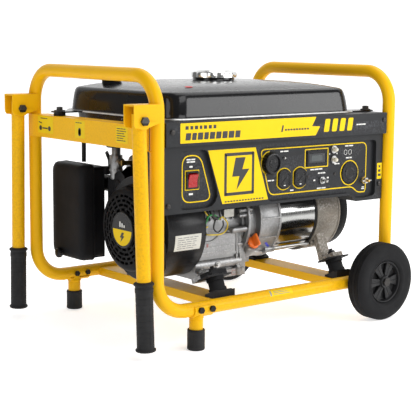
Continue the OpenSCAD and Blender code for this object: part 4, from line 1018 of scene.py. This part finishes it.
def recoil_pressing():
    """A stepped disc with rings of slots, and a drum with vents round its side."""
    count = 128
    bands = [(27, -249, None), (30, -248.4, None), (33, -246.2, None), (37.5, -246, None),
        (42.5, -246.3, (14, 0.7, 0)), (46.5, -246.3, None), (51.5, -246.1, (18, 0.72, 0.5)),
        (55.5, -245.9, None), (60.5, -245.6, (22, 0.74, 0)), (64.5, -245.2, None),
        (69.5, -244.8, (26, 0.76, 0.5)), (72.5, -244.4, None), (75, -244, None), (79, -242, None),
        (82.4, -239, None), (83.8, -235, None), (84, -233.5, None), (84, -222, (40, 0.55, 0)),
        (84, -219.5, None), (84, -217, None), (86.5, -216.4, None), (88.5, -215.6, None),
        (88.5, -212.6, None)]
    shape = Shape()
    rings = [[shape.bm.verts.new((x, CRANK_Y + u, CRANK_Z + v)) for u, v in around(count, r)]
        for r, x, _ in bands]
    for near, far, (_, _, pattern) in zip(rings, rings[1:], bands[1:]):
        for k in range(count):
            if pattern:
                slots, width, shift = pattern
                if (k / count * slots + shift) % 1 < width:
                    continue
            after = (k + 1) % count
            shape.bm.faces.new([near[k], near[after], far[after], far[k]])
    cover = piece("recoil_cover_pressing", shape, moulded, ["recoil_cover"], sharp=35)
    solid = cover.modifiers.new("thickness", "SOLIDIFY")
    solid.thickness = 2.2 * TO_METRES
    solid.offset = 1 if cover.data.polygons[0].normal.x > 0 else -1
    round_edges(cover, 0.4, 40)


def recoil_disc():
    """Centre disc: dark upper half with bars, yellow lower half with a bolt, under a clear rim."""
    disc = Shape().round_crank([(245.4, 36), (249, 36), (250, 34.9), (250, 33.4), (249.6, 32.8),
        (249.6, 0)], way=-1)
    piece("recoil_centre_disc", disc, fitting_black)
    half = Shape().plate_x(arc(CRANK_Y, CRANK_Z, 31.6, 180, 360, 32), -249.9, -249.7)
    piece("recoil_disc_yellow", half, print_yellow)
    bolt = [(2, -4), (8, -4), (4.5, -9.5), (9, -9.5), (-2, -20), (1, -12.5), (-3.5, -12.5)]
    emblem = Shape().plate_x([(CRANK_Y + 3 - 1.25 * y, CRANK_Z + 1.25 * z) for y, z in bolt], -250.15, -249.9)
    piece("recoil_disc_emblem", emblem, print_and_shade_black)
    bars = Shape()
    for k in range(3):
        y = CRANK_Y - 9 + 7 * k
        bars.plate_x(rounded(y, CRANK_Z + 5, y + 4, CRANK_Z + 10 + 3 * k, 0.8, 3), -250, -249.65)
    piece("recoil_disc_bars", bars, print_white)


def fan_and_recoil():
    dress(shroud_paint, "fan_housing", bevel=2.2)
    dress(nylon, "recoil_pulley", bevel=0.6)
    recoil_pressing()
    recoil_disc()
    # A near-black disc just behind the recoil cover: painted shade, so the slots read dark.
    screen = Shape().round_crank([(239.2, 76), (240.4, 76), (240.4, 8), (239.2, 8)], way=-1)
    piece("recoil_painted_shade_disc", screen, painted_shade_black)
    screws, ears = Shape(), Shape()
    for a in (40, 160, 280):
        screws.bolt((-212.2, *on_cylinder(94, a)), LEFT, 4.6, 4)
        ears.plate_x(soften([on_cylinder(82, a - 9), on_cylinder(97, a - 6), on_cylinder(100, a),
            on_cylinder(97, a + 6), on_cylinder(82, a + 9)], 4), -213.6, -212.1)
    piece("shroud_screws", screws, dark_steel)
    side = Shape().plate_y(soften([(-206, 166), (-126, 166), (-126, 316), (-158, 324), (-192, 300),
        (-206, 262)], 6), 60.5, 63)
    side.plate_x(soften([(46, 150), (62, 166), (62, 300), (20, 322), (0, 310)], 6), -209.5, -207)
    piece("cylinder_air_shroud", side, shroud_paint, bevel=0.6)
    piece("recoil_ears", ears, moulded)
    rolled = Shape().round_crank([(-213.4, 100.4), (-213.6, 102.4), (-212.6, 103.8), (-211.4, 103.6),
        (-210.8, 102.8)], 96)
    piece("shroud_rolled_edge", rolled, shroud_paint)
    label = curved_patch(Shape(), 103.1, -196.3, -132.8, -19.8, -2, 0.3)
    piece("shroud_label", label, label_paper)
    ink = Shape()
    rows = ((12, 16, 9, 12), (18, 11, 16), (9, 12, 13, 11), (16, 19, 8), (11, 11, 12, 12), (13, 8, 19))
    for row, widths in enumerate(rows):
        x = -190
        a = -4.6 - 2.4 * row
        for width in widths:
            curved_patch(ink, 103.4, x, x + width - 1.6, a - 0.9, a, 0.12, 2)
            x += width + 0.8
    piece("shroud_label_lines", ink, label_grey)


def starter_grip():
    """T-shaped pull with rounded bars, on its rope of three strands."""
    at = Vector((-229, CRANK_Y, 170.9))
    shape = Shape()
    rings = []
    for y, half_z, half_x in ((-93.8, 9, 6), (-94.6, 20, 8), (-97, 27.4, 8.8), (-100.5, 29.8, 9),
            (-104, 29, 8.8), (-106.8, 24, 7.6), (-108, 14, 5.5)):
        rings.append([(at.x + u, at.y + y, at.z + w)
            for u, w in rounded(-half_x, -half_z, half_x, half_z, half_x * 0.85, 6)])
    shape.loft(rings)
    shape.lathe(at, FRONT, [(85.6, 3.2), (86, 5.5), (90, 6.6), (94.5, 7.6)], 28)
    piece("starter_handle", shape, moulded, ["starter_grip"], sharp=50, body="grip")
    rope = Shape()
    for strand in range(3):
        points = []
        for k in range(42):
            a = 2 * math.pi * (k / 7 + strand / 3)
            points.append((at.x + 0.85 * math.cos(a), at.y + 50 - 3.4 * k, at.z + 0.85 * math.sin(a)))
        rope.tube(points, 0.85, 8, 2)
    piece("starter_rope", rope, nylon, body="grip")


# ---------- intake ----------
def air_cleaner():
    (x0, y0, z0), (x1, y1, z1) = mm_box("air_cleaner_cover")
    skin = [(x1, 0, 14), (x1 - 3.2, 0, 14), (x1 - 3.6, 1.4, 13), (x1 - 5.2, 1.4, 13), (x1 - 5.8, 0.3, 14),
        (x0 + 11, 0.6, 15), (x0 + 6, 1.6, 16), (x0 + 3, 3.6, 17), (x0 + 1.1, 7, 18), (x0 + 0.2, 12, 20),
        (x0, 20, 22), (x0 + 0.5, 34, 20)]
    shape = Shape().loft([[(x, y, z) for y, z in rounded(y0 + d, z0 + d, y1 - d, z1 - d, r, 8)]
        for x, d, r in skin])
    piece("cleaner_cover_shell", shape, moulded, ["air_cleaner_cover"], sharp=50,
        body="cleaner_cover")
    dress(moulded, "air_cleaner_base", bevel=1.6)
    ribs = Shape()
    back = mm_box("air_cleaner_base")[1][0]
    for k in range(7):
        z = 165 + 20 * k
        ribs.box((back - 22, 79.4, z), (-206, 81.2, z + 3))
    for y in (110, 140, 170):
        ribs.box((-206, y - 1.2, 150), (-203.4, y + 1.2, 262))
    ribs.strip_y([(-230.8, 136), (-205.5, 136), (-205.5, 323), (-230.8, 323)], 2.5, 79.2, 81)
    piece("cleaner_base_ribs", ribs, moulded, bevel=0.5)
    x, y, z = -262.2, 160, 139
    knob = Shape().lathe((x, y, z), LEFT, [(0, 8.5), (0.8, 9.6), (7.6, 9.8), (9.2, 8.8), (9.8, 7),
        (9.8, 0)], 48)
    for u, v in around(14, 9.5):
        knob.rod((x - 1, y + u, z + v), (x - 8, y + u, z + v), 1.15, n=10)
    knob.box((x - 9.9, y - 6.2, z - 1.1), (x - 9.4, y + 6.2, z + 1.1))
    knob.rod((x, y, z), (x + 48, y, z), 2.9, n=20)
    piece("cleaner_wing_knob", knob, fitting_black, ["air_cleaner_knob"],
        body="cleaner_knob")


def carburettor_and_fuel():
    dress(cast, "carburettor", bevel=0.6)
    dress(moulded, "choke_lever", bevel=0.5)
    dress(cast, "fuel_valve_body", bevel=0.5)
    dress(brass, "fuel_valve_lever", bevel=0.5)
    dress(rubber, "fuel_hoses", "fuel_cap_gasket")
    x, y = -200, 45
    bowl = Shape().lathe((x, y, 0), UP, [(294, 0), (294, 5.5), (295, 7), (299, 7), (300, 9.5), (302, 11.6),
        (306, 12.2), (316, 12.2), (318, 13.4), (321.8, 13.4), (321.8, 10)], 48)
    for u, v in around(18, 13.1):
        bowl.rod((x + u, y + v, 318.2), (x + u, y + v, 321.6), 0.8, n=8)
    piece("sediment_cup", bowl, cast, ["sediment_bowl"])
    links = Shape()
    links.tube([(-150, 90, 302), (-140, 70, 312), (-120, 40, 316), (-95, 10, 312), (-60, -10, 306)], 1.5, 8)
    links.tube([(-172, 118, 306), (-160, 126, 318), (-130, 128, 322), (-100, 122, 318)], 1.3, 8)
    links.bolt((-150, 105, 302), UP, 4.5, 5)
    piece("throttle_links", links, dark_steel)
    control = Shape()
    control.plate_z(soften([(-184, -34), (-128, -34), (-128, 14), (-166, 14), (-184, 4)], 6), 318, 320.4)
    control.plate_y(soften([(-184, 274), (-130, 274), (-130, 320), (-184, 320)], 5), -35.4, -33)
    control.plate_x(soften([(-34, 300), (12, 300), (10, 344), (-12, 350), (-34, 332)], 6), -150, -147.6)
    spring = []
    for k in range(85):
        a = 2 * math.pi * k / 7
        spring.append((-176 + 0.5 * k, 6 + 3.6 * math.cos(a), 327 + 3.6 * math.sin(a)))
    control.tube(spring, 0.7, 6, 1)
    control.lathe((-166, -16, 320.4), UP, [(0, 12), (14, 12), (17, 10), (17, 6), (22, 5), (22, 0)], 32)
    control.box((-142, -26, 320), (-112, 30, 346))
    for k in range(6):
        control.box((-147, -28, 322 + 4 * k), (-108, 32, 323.4 + 4 * k))
    for x, y in ((-179, -28), (-140, -26)):
        control.bolt((x, y, 320.4), UP, 4.5, 4)
    piece("speed_control_plate", control, moulded, bevel=0.5)
    clips = Shape()
    for at, axis in (((-176.5, 45, 332), (1, 0, 0)), ((-150, 79, 271.6), (0, 1, -0.2))):
        clips.lathe(at, axis, band(-1.5, 1.5, 4.1, 5), 24)
    piece("hose_clips", clips, zinc_and_painted_highlight)


def wires():
    green, yellow, black = Shape(), Shape(), Shape()
    y = -128.5
    green.tube([(-106, y + 1, 222), (-103, y, 228), (-97, y, 237), (-86, y, 238), (-70, y + 1, 229)], 2.5, 12)
    yellow.tube([(-104, y, 226), (-111, y - 1, 221), (-107, y - 1, 214), (-99, y, 216)], 1.4, 10)
    yellow.tube([(-70, y, 228), (-62, y - 1, 232), (-49, y - 1, 218), (-52, y, 204), (-65, y + 2, 197),
        (-93, y + 4, 198), (-97, y + 9, 199)], 1.4, 10)
    yellow.tube([(-98, y, 237), (-104, y, 243), (-108, y + 2, 252)], 1.4, 10)
    black.tube([(-60, y, 225), (-60, y, 213), (-72, y, 202), (-83, y, 209), (-83, y, 219),
        (-78, y + 1, 229)], 1.5, 10)
    black.tube([(-92, y + 6, 262), (-90, y + 1, 246), (-84, y + 1, 234), (-74, y, 230)], 4, 12)
    black.tube([(-120, y + 8, 262), (-118, y + 3, 244), (-108, y + 1, 232), (-104, y + 1, 227)], 3.4, 12)
    piece("earth_wire_sleeves", green, green_wire)
    piece("earth_wire", yellow, yellow_wire)
    piece("harness", black, black_wire)
    lug = Shape()
    lug.lathe((-97, -114.4, 199), FRONT, [(0, 5), (1, 5), (1, 2.4), (0, 2.4)], 24)
    lug.bolt((-97, -115.6, 199), FRONT, 4, 3.6)
    piece("earth_lug", lug, dark_steel)


# ---------- alternator ----------
def alternator():
    dress(stator_steel, "stator")
    dress(bell_cast, "end_bell", bevel=0.8)
    dress(moulded, "end_cover", bevel=1.2)
    dress(winding, "rotor")
    dress(rubber, "rubber_mounts", bevel=0.8)
    shape = Shape()
    for x0, x1 in ((198.3, 202.4), (261, 265.8)):
        shape.round_crank(lip(x0, x1, STATOR_R + 0.8, STATOR_R - 4, 0.5), 96)
    piece("end_bell_lips", shape, bell_cast)
    # Black rings sunk in the joints at both ends of the stator; the ring by the end bell is painted shade
    # standing for the dark opening there.
    r = STATOR_R - 4
    seam = Shape().round_crank(band(195.6, 198.2, r - 2, r + 2.4), 96)
    seam.round_crank(band(93, 94.4, r - 2, r + 1.2), 96)
    piece("stator_seam_and_shade", seam, print_and_shade_black)
    rods = Shape()
    for a in (133, 47, -47, -133):
        rods.lathe((0, *on_cylinder(88, a)), RIGHT, [(94.6, 3), (94.6, 3.3), (195.4, 3.3), (195.4, 3)], 20)
    piece("through_bolt_shanks", rods, zinc_and_painted_highlight)
    straps = Shape()
    for a in (-58, 122):
        curved_patch(straps, r + 0.1, 94.5, 195.5, a - 1.5, a + 1.5, 0.8)
    piece("stator_weld_straps", straps, zinc_and_painted_highlight)


def rail_patch(shape, x0, x1, a0, a1, r):
    """A thin printed patch wrapped round the front rail."""
    steps = (a1 - a0) // 4
    inner = arc(-POST_Y, RAIL_Z, r, 180 - a0, 180 - a0 - 4 * steps, steps)
    outer = arc(-POST_Y, RAIL_Z, r + 0.18, 180 - a1, 180 - a1 + 4 * steps, steps)
    shape.plate_x(inner + outer, x0, x1)


def frame_labels():
    """Plain yellow stickers with generic marks on the handle-end crossbar and the rail."""
    x = LEFT_X - TUBE_R - 2.5
    sticker, ink = Shape(), Shape()
    for y0, y1, z0, z1 in ((117, 176, 392, 426), (0, 35, 391, 425), (-146, -107, 392, 423)):
        sticker.plate_x(rounded(y0, z0, y1, z1, 1), x - DECAL, x - HAIR)
    front = x - 2 * DECAL
    back = front + DECAL - HAIR

    def bars(y, z, widths, height=1.6):
        for width in widths:
            ink.plate_x(rounded(y - width, z, y, z + height, 0.4, 2), front, back)
            y -= width + 1.2

    bars(165, 421, (9, 8, 7))
    ink.plate_x([(172, 415), (160, 413), (160, 411), (172, 413)], front, back)
    for y in (165, 131):
        ink.lathe((back, y, 402), LEFT, [(0, 5), (DECAL, 5), (DECAL, 0)], 20)
    bars(158, 400.6, (20,), 2.8)
    bars(32, 420, (6, 5, 8))
    for k in range(3):
        ink.plate_x(arc(18, 406 - 3 * k, 5, 0, 360, 12)[:-1], front, front + 0.1)
    for k, widths in enumerate(((12, 8, 6), (9, 14, 5), (14, 9), (10, 6, 9), (8, 12), (14, 6, 6))):
        bars(-110, 418 - 4.4 * k, widths, 1.5)
    rail_ink = Shape()
    rail_patch(sticker, -20, 42, 6, 62, TUBE_R + 0.05)
    rail_patch(rail_ink, -18, -14, 10, 58, TUBE_R + 0.22)
    for k in range(3):
        rail_patch(rail_ink, -8, 34 - 6 * k, 18 + 14 * k, 22 + 14 * k, TUBE_R + 0.22)
    piece("frame_stickers", sticker, print_yellow)
    piece("frame_sticker_marks", ink, print_and_shade_black)
    piece("rail_sticker_marks", rail_ink, label_grey)


def engine_castings():
    dress(cast, "crankcase", "bell_housing", bevel=0.9)
    dress(cast, "cylinder_block", "valve_cover", "flywheel", bevel=0.6)
    dress(dark_steel, "crankshaft")
    dress(hot_steel, "muffler", bevel=0.8)


place_camera()
studio()
dress_frame()
weld_beads()
leg_boots()
grip(-1, 1.2, "front_handle", "front_grip_sleeve", "front_grip")
grip(1, 0, "rear_handle", "rear_grip_sleeve", "rear_grip")
wheel(-1, "front")
wheel(1, "rear")
fuel_tank()
fuel_cap()
fuel_gauge()
panel_fittings()
panel_prints()
outlet_faces()
engine_castings()
crankcase_details()
bell_details()
dipstick()
fan_and_recoil()
starter_grip()
air_cleaner()
carburettor_and_fuel()
wires()
alternator()
frame_labels()
